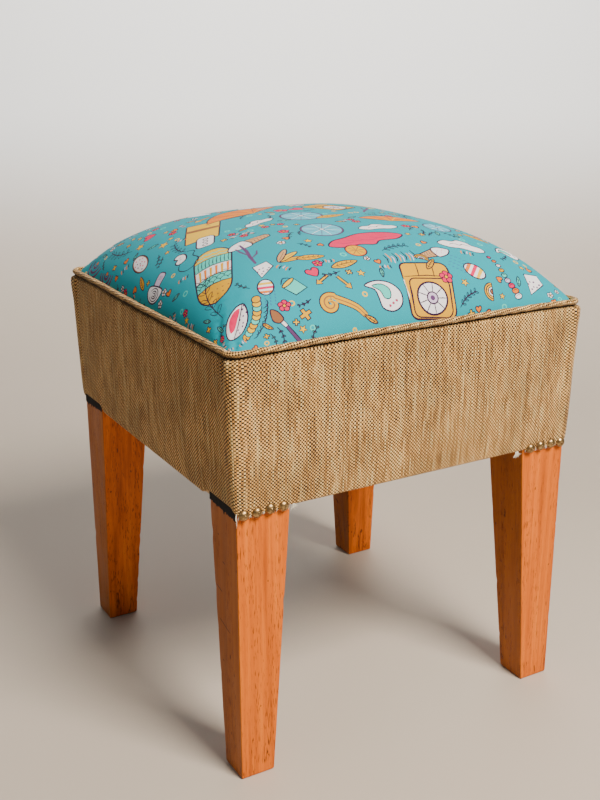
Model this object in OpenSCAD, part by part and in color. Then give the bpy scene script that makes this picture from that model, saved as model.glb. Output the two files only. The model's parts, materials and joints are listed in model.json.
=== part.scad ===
// Upholstered square footstool with tapered legs, a piped boxing band and a domed seat.
// Origin: centre of the seat's plan, on the floor. +Z up, -Y is the front, +X is to the right.

/* [Overall] */
// Width across the band's tight lower edge, side to side
seat_w = 394; // [330:2:450]
// Depth across the band's tight lower edge, front to back
seat_d = 404; // [340:2:460]
// Height of the band's lower edge
skirt_z = 284; // [250:1:290]
// Height of the piping's centre line
piping_z = 436; // [430:1:470]
// Rise of the dome above the piping
dome_rise = 78; // [40:1:100]

/* [Legs] */
// Side of the square leg at the seat rails
leg_top = 56; // [46:1:64]
// Side of the square leg at the floor
leg_foot = 36; // [24:1:44]
// Bevel round the foot
foot_bevel = 2; // [0.5:0.5:4]

/* [Frame] */
// Height of the seat rails
rail_h = 95; // [70:1:100]
// Thickness of the seat rails
rail_t = 22; // [16:1:28]
// Dowel diameter
dowel_d = 10; // [6:1:12]
// Dowel length
dowel_l = 40; // [30:2:50]
// Thickness of the corner blocks
block_t = 20; // [14:1:26]
// Height of the corner blocks
block_h = 60; // [40:1:70]

/* [Upholstery] */
// Width of a webbing strap
strap_w = 50; // [35:1:55]
// Thickness of a webbing strap
strap_t = 1.2; // [0.8:0.1:1.6]
// Thickness of the band's cloth
band_t = 1.4; // [1:0.1:2]
// Outer diameter of the piping
piping_d = 6; // [4:0.5:8]
// Diameter of the cord inside the piping
cord_d = 4; // [2:0.5:4.5]
// Radius of the piping at the seat's corners
corner_r = 10; // [8:1:20]
// Thickness of the wadding over the dome
wadding_t = 5; // [3:0.5:8]

/* [Nails] */
// Nails on each leg
nails_each = 4; // [3:1:4]
// Diameter of a nail's head
nail_d = 11; // [9:0.5:12]
// Height of a nail's head
nail_h = 3.4; // [2.5:0.1:4.5]
// Distance between nails
nail_pitch = 13.6; // [12:0.1:14]

/* [Hidden] */
$fn = 48;
eps = 0.01;

// Frame
frame_x = seat_w / 2 - 2;              // outer face of legs and side rails
frame_y = seat_d / 2 - 2;              // outer face of legs and front rails
rail_top = skirt_z + rail_h;
dowel_z = [skirt_z + 24, skirt_z + rail_h - 26];
block_z = skirt_z + 16;
block_face = frame_x + frame_y - 2 * leg_top;   // x + y on a block's outer face
block_back = block_face - block_t * sqrt(2);    // x + y on its inner face
screw_d = 4;
screw_l = 30;
screw_head = 8;

// Webbing and hessian
straps = 4;                             // each way
weave = 0.65;                           // rise and fall of a strap at a crossing
web_mid = rail_top + strap_t / 2 + weave + 0.05;
web_end = 6;                            // strap end to the frame's face
hessian_t = 0.8;
hessian_z = web_mid + weave + strap_t / 2 + 0.05;

// Padding
slab_z = hessian_z + hessian_t;
piping_x = seat_w / 2 + 2;              // centre line of the piping
piping_y = seat_d / 2 + 2;
slab_top = piping_z - 5;
cover_t = 0.8;
cover_z = piping_z - 2;
cover_x = piping_x - piping_d / 2 - 0.2;
cover_y = piping_y - piping_d / 2 - 0.2;
cover_rise = dome_rise + 2;
dome_steps = 22;

// Band
band_low = 0.2;                         // the lower part stands this far outside seat_w
band_full = 4.2;                        // and the upper part this far
band_turn = 14;                         // height of the tight lower part
band_steps = 3;                         // steps from there to the full width
low_r = 3.5;                            // corner radius of the lower part
full_r = 8;                             // and of the uppermost part
lap = 2;                                // height by which neighbouring steps overlap
slab_over = 0.3;                        // the slab overhangs the rails by this much
side_gap = 0.3;                         // between the side wadding and the band
hem_w = 15;
cambric_t = 0.5;

// Fasteners
staple_w = 10;
staple_wire = 0.8;
staple_leg = 8;
shank_d = 1.8;
shank_l = 12;
nail_first = 6.5;                       // first nail to the leg's outer corner
nail_z = skirt_z;

wood = "#c8722c";
raw_wood = "#d9b98a";
band_cloth = "#a58c66";
black_cloth = "#1c1a1c";
brass = "#8a6a3a";

// Puts a piece made in the +X +Y quarter into the quarter whose signs are sx and sy
module quarter(sx, sy) {
    mirror([sx < 0 ? 1 : 0, 0, 0]) mirror([0, sy < 0 ? 1 : 0, 0]) children();
}

// Tapered leg: upright on its two outer faces, tapered on its two inner ones
module leg_profile(face, z_top) {
    polygon([
        [face - foot_bevel, 0],
        [face, foot_bevel],
        [face, z_top],
        [face - leg_top, z_top],
        [face - leg_top, skirt_z],
        [face - leg_foot, foot_bevel],
        [face - leg_foot + foot_bevel, 0]
    ]);
}

module leg_blank() {
    intersection() {
        translate([0, seat_d, 0]) rotate([90, 0, 0])
            linear_extrude(seat_d) leg_profile(frame_x, rail_top);
        rotate([90, 0, 90])
            linear_extrude(seat_w) leg_profile(frame_y, rail_top);
    }
}

module leg(sx, sy) {
    color(wood) difference() {
        quarter(sx, sy) leg_blank();
        rail_dowels();
        nail_shanks(sx, sy);
    }
}

// Seat rails
module rail_front_blank(sy) {
    len_x = 2 * (frame_x - leg_top);
    y0 = sy > 0 ? frame_y - rail_t : -frame_y;
    translate([-len_x / 2, y0, skirt_z]) cube([len_x, rail_t, rail_h]);
}

module rail_side_blank(sx) {
    len_y = 2 * (frame_y - leg_top);
    x0 = sx > 0 ? frame_x - rail_t : -frame_x;
    translate([x0, -len_y / 2, skirt_z]) cube([rail_t, len_y, rail_h]);
}

module rail_cut() {
    difference() {
        children();
        rail_dowels();
        block_screws();
        staple_prongs_web();
        staple_prongs_under();
    }
}

// Two dowels in each end of each rail
module rail_dowels() {
    color(raw_wood)
    for (sx = [-1, 1], sy = [-1, 1], z = dowel_z) {
        translate([sx * (frame_x - leg_top), sy * (frame_y - rail_t / 2), z])
            rotate([0, 90, 0]) cylinder(d = dowel_d, h = dowel_l, center = true);
        translate([sx * (frame_x - rail_t / 2), sy * (frame_y - leg_top), z])
            rotate([90, 0, 0]) cylinder(d = dowel_d, h = dowel_l, center = true);
    }
}

// Corner block, mitred to the rails' inner faces, behind the leg's inner corner
module block_blank() {
    ix = frame_x - rail_t;
    iy = frame_y - rail_t;
    translate([0, 0, block_z]) linear_extrude(block_h) polygon([
        [block_face - iy, iy],
        [ix, block_face - ix],
        [ix, block_back - ix],
        [block_back - iy, iy]
    ]);
}

module corner_block(sx, sy) {
    color(raw_wood) difference() {
        quarter(sx, sy) block_blank();
        block_screws(head_room = 40);
    }
}

// One screw along +Z, its head's face at the origin, with room above the head when cutting
module screw(head_room) {
    translate([0, 0, -head_room]) cylinder(d = screw_head, h = head_room + 1);
    translate([0, 0, 1 - eps]) cylinder(d1 = screw_head, d2 = screw_d, h = 2 + eps);
    translate([0, 0, 3 - eps]) cylinder(d = screw_d, h = screw_l - 3);
}

// A screw from each corner block into each of its two rails
module block_screws(head_room = 0) {
    iy = frame_y - rail_t;
    ix = frame_x - rail_t;
    depth = 9;                          // head to the rail's inner face
    mid = block_t * sqrt(2) / 2;
    color("silver")
    for (sx = [-1, 1], sy = [-1, 1]) quarter(sx, sy) {
        translate([block_face - iy - mid, iy - depth, block_z + block_h * 0.35])
            rotate([-90, 0, 0]) screw(head_room);
        translate([ix - depth, block_face - ix - mid, block_z + block_h * 0.65])
            rotate([0, 90, 0]) screw(head_room);
    }
}

// Webbing: place of strap i across a frame of the given half width
function strap_at(i, half) = (i - (straps - 1) / 2) * (2 * (half - rail_t) / straps);

// Height of a strap's middle where it crosses strap j
function weave_at(i, j) = web_mid + ((i + j) % 2 == 0 ? weave : -weave);

// Side view of a strap: flat on both rails and up or down at each crossing
function strap_line(i, half, cross_half) = concat(
    [[-half + web_end, rail_top + strap_t / 2], [-half + rail_t, rail_top + strap_t / 2]],
    [for (j = [0 : straps - 1]) each [
        [strap_at(j, half) - strap_w / 2, weave_at(i, j)],
        [strap_at(j, half) + strap_w / 2, weave_at(i, j)]
    ]],
    [[half - rail_t, rail_top + strap_t / 2], [half - web_end, rail_top + strap_t / 2]]
);

module strap_profile(i, half) {
    line = strap_line(i, half);
    n = len(line);
    polygon(concat(
        [for (p = line) p + [0, strap_t / 2]],
        [for (k = [n - 1 : -1 : 0]) line[k] - [0, strap_t / 2]]
    ));
}

module web_cross(i) {
    color("#b59a6a") difference() {
        translate([0, strap_at(i, frame_y) + strap_w / 2, 0]) rotate([90, 0, 0])
            linear_extrude(strap_w) strap_profile(i, frame_x);
        staple_prongs_web();
    }
}

module web_long(i) {
    color("#ab9060") difference() {
        translate([strap_at(i, frame_x) - strap_w / 2, 0, 0]) rotate([90, 0, 90])
            linear_extrude(strap_w) strap_profile(i + 1, frame_y);
        staple_prongs_web();
    }
}

// Staples: prongs point down, the crown lies on the origin's plane and along X
module prongs() {
    for (s = [-1, 1])
        translate([s * (staple_w - staple_wire) / 2, 0, -staple_leg / 2])
            cube([staple_wire, staple_wire, staple_leg], center = true);
}

module staple() {
    prongs();
    translate([0, 0, staple_wire / 2 - eps]) cube([staple_w, staple_wire, staple_wire], center = true);
}

// Two staples at each end of each strap
module at_web_ends() {
    z = rail_top + strap_t;
    for (i = [0 : straps - 1], s = [-1, 1], k = [-1, 1]) {
        translate([s * (frame_x - rail_t / 2), strap_at(i, frame_y) + k * strap_w / 4, z])
            rotate([0, 0, 90]) children();
        translate([strap_at(i, frame_x) + k * strap_w / 4, s * (frame_y - rail_t / 2), z]) children();
    }
}

module staple_prongs_web() {
    at_web_ends() prongs();
}

module web_staples() {
    color("silver") at_web_ends() staple();
}

// Rows of staples under the rails: count on each rail, inset from the frame's face
module under_rails(count, inset, z) {
    for (k = [0 : count - 1], s = [-1, 1]) {
        fx = (k - (count - 1) / 2) * 2 * (frame_x - leg_top - 12) / count;
        fy = (k - (count - 1) / 2) * 2 * (frame_y - leg_top - 12) / count;
        translate([fx, s * (frame_y - inset), z]) mirror([0, 0, 1]) children();
        translate([s * (frame_x - inset), fy, z]) mirror([0, 0, 1]) rotate([0, 0, 90]) children();
    }
}

module at_band_staples() {
    under_rails(6, 10, skirt_z - band_t) children();
}

module at_dust_staples() {
    under_rails(7, 14, skirt_z - band_t - cambric_t - staple_wire) children();
}

module staple_prongs_under() {
    at_band_staples() prongs();
    at_dust_staples() prongs();
}

module band_staples() {
    color("silver") at_band_staples() staple();
}

module dust_staples() {
    color("silver") at_dust_staples() staple();
}

// Hessian over the webbing, to just inside the frame's faces
module hessian() {
    color("#b39565")
        translate([0, 0, hessian_z]) plate(frame_x - 3, frame_y - 3, 2, hessian_t);
}

// Rounded plate of half sizes hx and hy, corner radius r and height h
module plate(hx, hy, r, h) {
    for (c = [[hx - r, hy], [hx, hy - r]])
        translate([-c[0], -c[1], 0]) cube([2 * c[0], 2 * c[1], h]);
    for (sx = [-1, 1], sy = [-1, 1])
        translate([sx * (hx - r), sy * (hy - r), 0]) cylinder(r = r, h = h);
}

// Hoop standing out by the given amount from the seat's plan, with wall t
module hoop(out, r_out, r_in, t, h) {
    hx = seat_w / 2 + out;
    hy = seat_d / 2 + out;
    difference() {
        plate(hx, hy, r_out, h);
        translate([0, 0, -1]) plate(hx - t, hy - t, r_in, h + 2);
    }
}

// Foam slab under the dome
module foam_slab() {
    color("#e8dfb4")
        translate([0, 0, slab_z])
            plate(frame_x + slab_over, frame_y + slab_over, corner_r - 4, slab_top - slab_z);
}

// Dome over a rectangle of half sizes hx and hy: full in the middle, steep at the rim
function dome_side(k) = sin(90 * (2 * k / dome_steps - 1));
function dome_fall(s) = 1 - pow(abs(s), 3);
function dome_points(hx, hy, z0, rise) = [
    for (i = [0 : dome_steps], j = [0 : dome_steps])
        let (u = dome_side(i), v = dome_side(j))
        [hx * u, hy * v, z0 + rise * sqrt(max(0, dome_fall(u) * dome_fall(v)))]
];

function grid_id(i, j) = i * (dome_steps + 1) + j;

// Faces of a dome's grid, seen from above, its points starting at number first
function dome_faces(first, flip) = [
    for (i = [0 : dome_steps - 1], j = [0 : dome_steps - 1])
        let (
            a = first + grid_id(i, j),
            b = first + grid_id(i, j + 1),
            c = first + grid_id(i + 1, j + 1),
            d = first + grid_id(i + 1, j)
        )
        each flip ? [[a, b, c], [a, c, d]] : [[a, c, b], [a, d, c]]
];

// Points round a dome's edge, counter-clockwise from above
function dome_rim() = concat(
    [for (i = [0 : dome_steps - 1]) grid_id(i, 0)],
    [for (j = [0 : dome_steps - 1]) grid_id(dome_steps, j)],
    [for (i = [dome_steps : -1 : 1]) grid_id(i, dome_steps)],
    [for (j = [dome_steps : -1 : 1]) grid_id(0, j)]
);

// A dome with a flat underside
module dome_solid(hx, hy, z0, rise) {
    top = dome_points(hx, hy, z0, rise);
    rim = dome_rim();
    n = len(rim);
    polyhedron(
        points = concat(top, [[0, 0, z0]]),
        faces = concat(
            dome_faces(0, false),
            [for (k = [0 : n - 1]) [rim[(k + 1) % n], rim[k], len(top)]]
        )
    );
}

// A dome of cloth or wadding, t thick and open below
module dome_shell(hx, hy, z0, rise, t) {
    outer = dome_points(hx, hy, z0, rise);
    inner = dome_points(hx - t, hy - t, z0, rise - t);
    rim = dome_rim();
    n = len(rim);
    first = len(outer);
    polyhedron(
        points = concat(outer, inner),
        faces = concat(
            dome_faces(0, false),
            dome_faces(first, true),
            [for (k = [0 : n - 1]) let (m = (k + 1) % n) each [
                [rim[m], rim[k], first + rim[m]],
                [rim[k], first + rim[k], first + rim[m]]
            ]]
        )
    );
}

module foam_crown() {
    inset = cover_t + wadding_t + 0.2;
    color("#efe8c6")
        dome_solid(cover_x - inset, cover_y - inset, slab_top, cover_rise + cover_z - slab_top - inset);
}

module crown_wadding() {
    inset = cover_t + 0.1;
    color("white")
        dome_shell(cover_x - inset, cover_y - inset, slab_top, cover_rise + cover_z - slab_top - inset,
            wadding_t);
}

module top_cover() {
    color("#3fb3bd") dome_shell(cover_x, cover_y, cover_z, cover_rise, cover_t);
}

// The band widens upwards in steps: how far step k stands out, its corners and where it starts
function step_out(k) = band_low + (band_full - band_low) * k / band_steps;
function step_r(k) = low_r + (full_r - low_r) * k / band_steps;
function step_z(k) = skirt_z + band_turn
    + (piping_z - piping_d / 2 - skirt_z - band_turn) * (k - 1) / band_steps;

// Wadding round the rails and the slab, behind the band
module side_wadding() {
    inner = slab_over + 0.1;
    color("white") difference() {
        for (k = [1 : band_steps]) {
            out = step_out(k) - band_t - side_gap;
            z_top = k < band_steps ? step_z(k + 1) + lap : slab_top;
            translate([0, 0, step_z(k)])
                plate(seat_w / 2 + out, seat_d / 2 + out, step_r(k) - band_t, z_top - step_z(k));
        }
        translate([0, 0, step_z(1) - 1])
            plate(frame_x + inner, frame_y + inner, 0.6, slab_top - step_z(1) + 2);
    }
}

// Boxing band: tight on the wood at its lower edge, wider above, with a hem under each rail
module band_blank() {
    low_z = skirt_z - band_t;
    translate([0, 0, low_z])
        hoop(band_low, low_r, low_r - band_t, band_t, band_turn + band_t);
    for (k = [1 : band_steps])
        translate([0, 0, step_z(k) - lap])
            hoop(step_out(k), step_r(k), step_r(k) - band_t, band_t, step_z(k + 1) - step_z(k) + lap);
    for (s = [-1, 1]) {
        hem_x = 2 * (frame_x - leg_top - 1);
        hem_y = 2 * (frame_y - leg_top - 1);
        translate([-hem_x / 2, s > 0 ? frame_y - hem_w : -frame_y - 1, low_z])
            cube([hem_x, hem_w + 1, band_t - eps]);
        translate([s > 0 ? frame_x - hem_w : -frame_x - 1, -hem_y / 2, low_z])
            cube([hem_w + 1, hem_y, band_t - eps]);
    }
}

module boxing_band() {
    color(band_cloth) difference() {
        band_blank();
        at_band_staples() prongs();
        at_dust_staples() prongs();
        for (sx = [-1, 1], sy = [-1, 1]) nail_shanks(sx, sy);
    }
}

// Ring of round section along the seat's edge
module ring(d) {
    sx = piping_x - corner_r;
    sy = piping_y - corner_r;
    translate([0, 0, piping_z]) {
        for (s = [-1, 1]) {
            translate([0, s * piping_y, 0]) rotate([0, 90, 0])
                cylinder(d = d, h = 2 * sx, center = true);
            translate([s * piping_x, 0, 0]) rotate([90, 0, 0])
                cylinder(d = d, h = 2 * sy, center = true);
        }
        for (qx = [-1, 1], qy = [-1, 1]) quarter(qx, qy)
            translate([sx, sy, 0]) rotate_extrude(angle = 90)
                translate([corner_r, 0]) circle(d = d);
    }
}

module piping_cover() {
    color(band_cloth) difference() {
        ring(piping_d);
        ring(cord_d);
    }
}

module piping_cord() {
    color("white") ring(cord_d);
}

// Black cambric under the seat, cut round the legs
module dust_cover() {
    z = skirt_z - band_t - cambric_t - 0.1;
    hx = frame_x - 5;
    hy = frame_y - 5;
    notch = leg_top - 4;
    color(black_cloth) difference() {
        translate([-hx, -hy, z]) cube([2 * hx, 2 * hy, cambric_t]);
        for (sx = [-1, 1], sy = [-1, 1])
            translate([sx * (hx - notch / 2 + 1), sy * (hy - notch / 2 + 1), z])
                cube([notch + 2, notch + 2, 4], center = true);
        at_dust_staples() prongs();
    }
}

// Strip of black lining on a leg's side face, under the band's edge
module lining(sx, sy) {
    color(black_cloth) quarter(sx, sy)
        translate([frame_x, frame_y - leg_top + 1, skirt_z - 9]) cube([0.6, leg_top - 2, 16]);
}

// Domed nail, head on the origin's plane, shank along -Z
module nail() {
    ball = (nail_d * nail_d / 4 + nail_h * nail_h) / (2 * nail_h);
    intersection() {
        translate([0, 0, nail_h - ball]) sphere(r = ball);
        cylinder(d = nail_d, h = nail_h + 1);
    }
    translate([0, 0, -shank_l]) cylinder(d = shank_d, h = shank_l + 0.5);
}

module at_nails(sx, sy) {
    for (k = [0 : nails_each - 1])
        translate([sx * (frame_x - nail_first - k * nail_pitch), sy * (seat_d / 2 + band_low), nail_z])
            rotate([-90 * sy, 0, 0]) children();
}

module nail_shanks(sx, sy) {
    at_nails(sx, sy) translate([0, 0, -shank_l]) cylinder(d = shank_d, h = shank_l);
}

module nails(sx, sy) {
    color(brass) at_nails(sx, sy) nail();
}

leg(-1, -1);  // leg_front_left
leg(1, -1);  // leg_front_right
leg(-1, 1);  // leg_back_left
leg(1, 1);  // leg_back_right
color(raw_wood) rail_cut() rail_front_blank(-1);  // rail_front
color(raw_wood) rail_cut() rail_front_blank(1);  // rail_back
color(raw_wood) rail_cut() rail_side_blank(-1);  // rail_left
color(raw_wood) rail_cut() rail_side_blank(1);  // rail_right
rail_dowels();
corner_block(-1, -1);  // block_front_left
corner_block(1, -1);  // block_front_right
corner_block(-1, 1);  // block_back_left
corner_block(1, 1);  // block_back_right
block_screws();
web_cross(0);  // web_cross_1
web_cross(1);  // web_cross_2
web_cross(2);  // web_cross_3
web_cross(3);  // web_cross_4
web_long(0);  // web_long_1
web_long(1);  // web_long_2
web_long(2);  // web_long_3
web_long(3);  // web_long_4
web_staples();
hessian();
foam_slab();
foam_crown();
crown_wadding();
side_wadding();
boxing_band();
band_staples();
piping_cover();
piping_cord();
top_cover();
dust_cover();
dust_staples();
lining(-1, -1);  // lining_front_left
lining(1, -1);  // lining_front_right
lining(-1, 1);  // lining_back_left
lining(1, 1);  // lining_back_right
nails(-1, -1);  // nails_front_left
nails(1, -1);  // nails_front_right
nails(-1, 1);  // nails_back_left
nails(1, 1);  // nails_back_right
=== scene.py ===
"""Upholstered square footstool: its looks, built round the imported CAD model."""
import json
import math
import random

import bpy
import numpy as np
from mathutils import Matrix, Vector, geometry, noise


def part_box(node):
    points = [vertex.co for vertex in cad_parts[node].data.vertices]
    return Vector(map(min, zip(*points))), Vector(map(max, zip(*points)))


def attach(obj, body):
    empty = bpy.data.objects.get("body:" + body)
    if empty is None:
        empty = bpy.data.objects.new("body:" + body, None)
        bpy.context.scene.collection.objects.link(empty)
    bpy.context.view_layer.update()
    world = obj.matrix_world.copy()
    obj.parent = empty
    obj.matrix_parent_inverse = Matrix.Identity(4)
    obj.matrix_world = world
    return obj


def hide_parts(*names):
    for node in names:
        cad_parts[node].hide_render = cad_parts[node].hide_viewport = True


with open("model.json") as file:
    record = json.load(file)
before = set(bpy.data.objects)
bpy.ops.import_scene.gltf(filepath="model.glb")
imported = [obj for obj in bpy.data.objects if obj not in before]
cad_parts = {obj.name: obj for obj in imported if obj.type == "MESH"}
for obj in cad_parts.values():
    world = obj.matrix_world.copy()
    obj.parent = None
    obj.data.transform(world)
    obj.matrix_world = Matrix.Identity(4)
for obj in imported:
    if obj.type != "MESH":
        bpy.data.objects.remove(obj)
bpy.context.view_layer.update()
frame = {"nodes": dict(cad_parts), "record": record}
MM = 0.001

# ---------------------------------------------------------------- sizes, from the frame

PIPE_LO, PIPE_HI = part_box("piping_cover")
COVER_LO, COVER_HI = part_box("top_cover")
LEG_LO, LEG_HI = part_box("leg_back_right")

PIPE_R = (PIPE_HI.z - PIPE_LO.z) / 2
PIPE_Z = (PIPE_HI.z + PIPE_LO.z) / 2
PIPE_X = PIPE_HI.x - PIPE_R                 # half the piping's centre line
PIPE_CORNER = 10 * MM
LEG_X, LEG_Y = LEG_HI.x, LEG_HI.y           # outer faces of the legs
LEG_TOP = LEG_HI.x - LEG_LO.x               # side of the square leg at the rails
LEG_FOOT = 36 * MM
RAIL_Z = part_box("rail_front")[0].z          # underside of the rails
SEAT_X = LEG_X + 2 * MM                     # half the band's plan at its tight lower edge
SEAT_Y = LEG_Y + 2 * MM
SIDES = {"front_left": (-1, -1), "front_right": (1, -1), "back_left": (-1, 1), "back_right": (1, 1)}


# ---------------------------------------------------------------- helpers

def piece(name, verts, faces, material, smooth=True):
    """A mesh object that rides on the stool, in the material it is given."""
    mesh = bpy.data.meshes.new(name)
    mesh.from_pydata([tuple(v) for v in verts], [], [tuple(int(i) for i in f) for f in faces])
    mesh.materials.append(material)
    if smooth:
        mesh.shade_smooth()
    obj = bpy.data.objects.new(name, mesh)
    bpy.context.scene.collection.objects.link(obj)
    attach(obj, "root")
    return obj


def point_vectors(obj, name, values):
    """Stores one vector for each vertex, for a material to read."""
    layer = obj.data.attributes.new(name, "FLOAT_VECTOR", "POINT")
    layer.data.foreach_set("vector", np.asarray(values, np.float32).ravel())


def thicken(obj, thickness, offset=0):
    """Gives cloth its thickness: on both sides, or inwards where offset is -1."""
    thick = obj.modifiers.new("thickness", "SOLIDIFY")
    thick.thickness = thickness
    thick.offset = offset


def wobble(x, y, z, scale, seed=0.0):
    """Smooth noise from -1 to 1 at a point, its waves about scale metres long."""
    return noise.noise(Vector((x / scale + seed, y / scale - seed, z / scale + 3 * seed)))


def smoothstep(a, b, x):
    t = min(1.0, max(0.0, (x - a) / (b - a)))
    return t * t * (3 - 2 * t)


def grid_faces(rows, cols, closed=False, first=0):
    """Quads of a grid whose points run along each row in turn."""
    last = cols if closed else cols - 1
    return [
        (
            first + r * cols + c,
            first + r * cols + (c + 1) % cols,
            first + (r + 1) * cols + (c + 1) % cols,
            first + (r + 1) * cols + c,
        )
        for r in range(rows - 1)
        for c in range(last)
    ]


# ---------------------------------------------------------------- material helpers

class Nodes:
    """Builds a material's nodes: each call makes one node and links or sets its inputs."""

    def __init__(self, name, **settings):
        self.material = bpy.data.materials.new(name)
        self.material.use_nodes = True
        self.tree = self.material.node_tree
        self.shader = self.tree.nodes["Principled BSDF"]
        for key, value in settings.items():
            self.shader.inputs[key.replace("_", " ")].default_value = value

    def add(self, kind, values=None, **attributes):
        node = self.tree.nodes.new(kind)
        for key, value in attributes.items():
            setattr(node, key, value)
        for key, value in (values or {}).items():
            self.put(node.inputs[key], value)
        return node

    def put(self, socket, value):
        if isinstance(value, bpy.types.NodeSocket):
            self.tree.links.new(value, socket)
        else:
            socket.default_value = value

    def math(self, operation, a, b=0.5, clamp=False):
        return self.add("ShaderNodeMath", {0: a, 1: b}, operation=operation, use_clamp=clamp).outputs[0]

    def plus(self, a, b):
        return self.math("ADD", a, b)

    def minus(self, a, b):
        return self.math("SUBTRACT", a, b)

    def times(self, a, b, clamp=False):
        return self.math("MULTIPLY", a, b, clamp)

    def mix(self, factor, a, b, blend="MIX"):
        node = self.add("ShaderNodeMix", data_type="RGBA", blend_type=blend)
        self.put(node.inputs[0], factor)
        self.put(node.inputs[6], a)
        self.put(node.inputs[7], b)
        return node.outputs[2]

    def ramp(self, factor, stops, interpolation="LINEAR"):
        node = self.add("ShaderNodeValToRGB", {0: factor})
        ramp = node.color_ramp
        ramp.interpolation = interpolation
        while len(ramp.elements) < len(stops):
            ramp.elements.new(0.5)
        for element, (place, colour) in zip(ramp.elements, stops):
            element.position = place
            element.color = colour if len(colour) == 4 else (*colour, 1)
        return node.outputs[0]

    def span(self, value, low, high, to_low=0.0, to_high=1.0):
        """A smooth step between two values."""
        node = self.add("ShaderNodeMapRange", {0: value, 1: low, 2: high, 3: to_low, 4: to_high})
        node.interpolation_type = "SMOOTHSTEP"
        return node.outputs[0]

    def place(self, scale=(1, 1, 1), offset=(0, 0, 0), attribute=None):
        """Coordinates in metres times scale: the object's own, or a stored attribute's."""
        if attribute:
            source = self.add("ShaderNodeAttribute", attribute_name=attribute).outputs["Vector"]
        else:
            source = self.add("ShaderNodeTexCoord").outputs["Object"]
        return self.add("ShaderNodeMapping", {0: source, 1: offset, 3: scale}).outputs[0]

    def noise(self, where, scale=1.0, detail=3.0, roughness=0.5, distortion=0.0):
        return self.add("ShaderNodeTexNoise", {
            "Vector": where, "Scale": scale, "Detail": detail,
            "Roughness": roughness, "Distortion": distortion,
        }).outputs[0]

    def parts(self, vector):
        return self.add("ShaderNodeSeparateXYZ", {0: vector}).outputs

    def join(self, x, y, z=0.0):
        return self.add("ShaderNodeCombineXYZ", {0: x, 1: y, 2: z}).outputs[0]

    def bump(self, height, distance, strength=1.0, under=None):
        values = {"Height": height, "Distance": distance, "Strength": strength}
        if under:
            values["Normal"] = under
        return self.add("ShaderNodeBump", values).outputs[0]

    def finish(self, colour=None, roughness=None, normal=None):
        for key, value in (("Base Color", colour), ("Roughness", roughness), ("Normal", normal)):
            if value is not None:
                self.put(self.shader.inputs[key], value)
        return self.material


# ---------------------------------------------------------------- materials

# Scratches and nicks on the near left leg's outer side face, in millimetres:
# middle (y, z), slope and half length
SCRATCHES = [(-160, 193, 0.25, 7), (-170, 157, 0.3, 12), (-161, 250, 0.0, 1.5), (-171, 224, 0.3, 2.5)]


def scratch_mask(m):
    """The scratches as a factor, on the wood just inside the left legs' outer faces."""
    x, y, z = m.parts(m.place())
    total = 0.0
    for y0, z0, slope, half in SCRATCHES:
        across = m.minus(y, y0 * MM)
        off = m.minus(m.minus(z, z0 * MM), m.times(across, slope))
        line = m.span(m.math("ABSOLUTE", off), 0.9 * MM, 0.3 * MM)
        line = m.times(line, m.span(m.math("ABSOLUTE", across), half * MM, half * 0.7 * MM))
        total = m.math("MAXIMUM", total, line)
    return m.times(total, m.span(x, -LEG_X + 4 * MM, -LEG_X + 2 * MM))


def varnished_wood():
    """Honey varnish over coarse-pored wood, its grain along Z, with painted shade: browner on the faces
    towards -X.
    """
    m = Nodes("varnished_wood", Coat_Weight=0.05, Coat_Roughness=0.3, Specular_IOR_Level=0.16)
    streaks = m.noise(m.place((240, 240, 6)), detail=4, roughness=0.6)
    broad = m.noise(m.place((60, 60, 2.0)), detail=3, distortion=0.4)
    patch = m.noise(m.place((26, 26, 5)), detail=2)
    grain = m.plus(m.times(streaks, 0.40), m.times(broad, 0.40))
    grain = m.plus(grain, m.times(patch, 0.20))
    colour = m.ramp(grain, [
        (0.34, (0.36, 0.062, 0.002)), (0.45, (0.57, 0.112, 0.003)),
        (0.54, (0.72, 0.155, 0.005)), (0.66, (0.84, 0.225, 0.012)),
    ])
    # Painted shade: the faces turned towards -X are mixed towards brown, by their normal.
    facing = m.parts(m.add("ShaderNodeNewGeometry").outputs["Normal"])[0]
    colour = m.mix(m.span(facing, -0.4, -0.9, 0.0, 0.62), colour, (0.24, 0.095, 0.020, 1))
    pores = m.noise(m.place((1000, 1000, 85)), detail=2)
    pore_zone = m.span(m.noise(m.place((75, 75, 5))), 0.40, 0.60)
    pore_zone = m.plus(m.times(pore_zone, 0.8), 0.25)
    pore = m.times(m.span(pores, 0.57, 0.66), pore_zone, True)
    colour = m.mix(m.times(pore, 0.85), colour, (0.16, 0.026, 0.003, 1))
    _, _, z = m.parts(m.place())
    low = m.span(z, 0.115, 0.02)
    crack_line = m.noise(m.place((150, 150, 9)), detail=3, distortion=0.2)
    crack = m.math("ABSOLUTE", m.minus(crack_line, 0.57))
    crack = m.times(m.span(crack, 0.016, 0.005), low)
    crack = m.times(crack, m.span(m.noise(m.place((40, 40, 16))), 0.42, 0.52))
    crack = m.math("MAXIMUM", crack, scratch_mask(m))
    colour = m.mix(m.times(crack, 0.9), colour, (0.055, 0.010, 0.003, 1))
    knocks = m.span(m.noise(m.place((120, 120, 70)), detail=2), 0.715, 0.74)
    colour = m.mix(m.times(knocks, 0.75), colour, (0.055, 0.016, 0.006, 1))
    edges = m.add("ShaderNodeNewGeometry").outputs["Pointiness"]
    chips = m.noise(m.place((160, 160, 80)), detail=3)
    worn = m.times(m.span(edges, 0.525, 0.58), m.span(chips, 0.47, 0.62))
    colour = m.mix(m.times(worn, 0.6), colour, (0.95, 0.55, 0.20, 1))
    height = m.minus(m.times(streaks, 0.35), m.plus(pore, crack))
    roughness = m.span(m.noise(m.place((30, 30, 12)), detail=4), 0.3, 0.75, 0.38, 0.58)
    return m.finish(colour, roughness, m.bump(height, 0.00025, 0.7))


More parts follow.
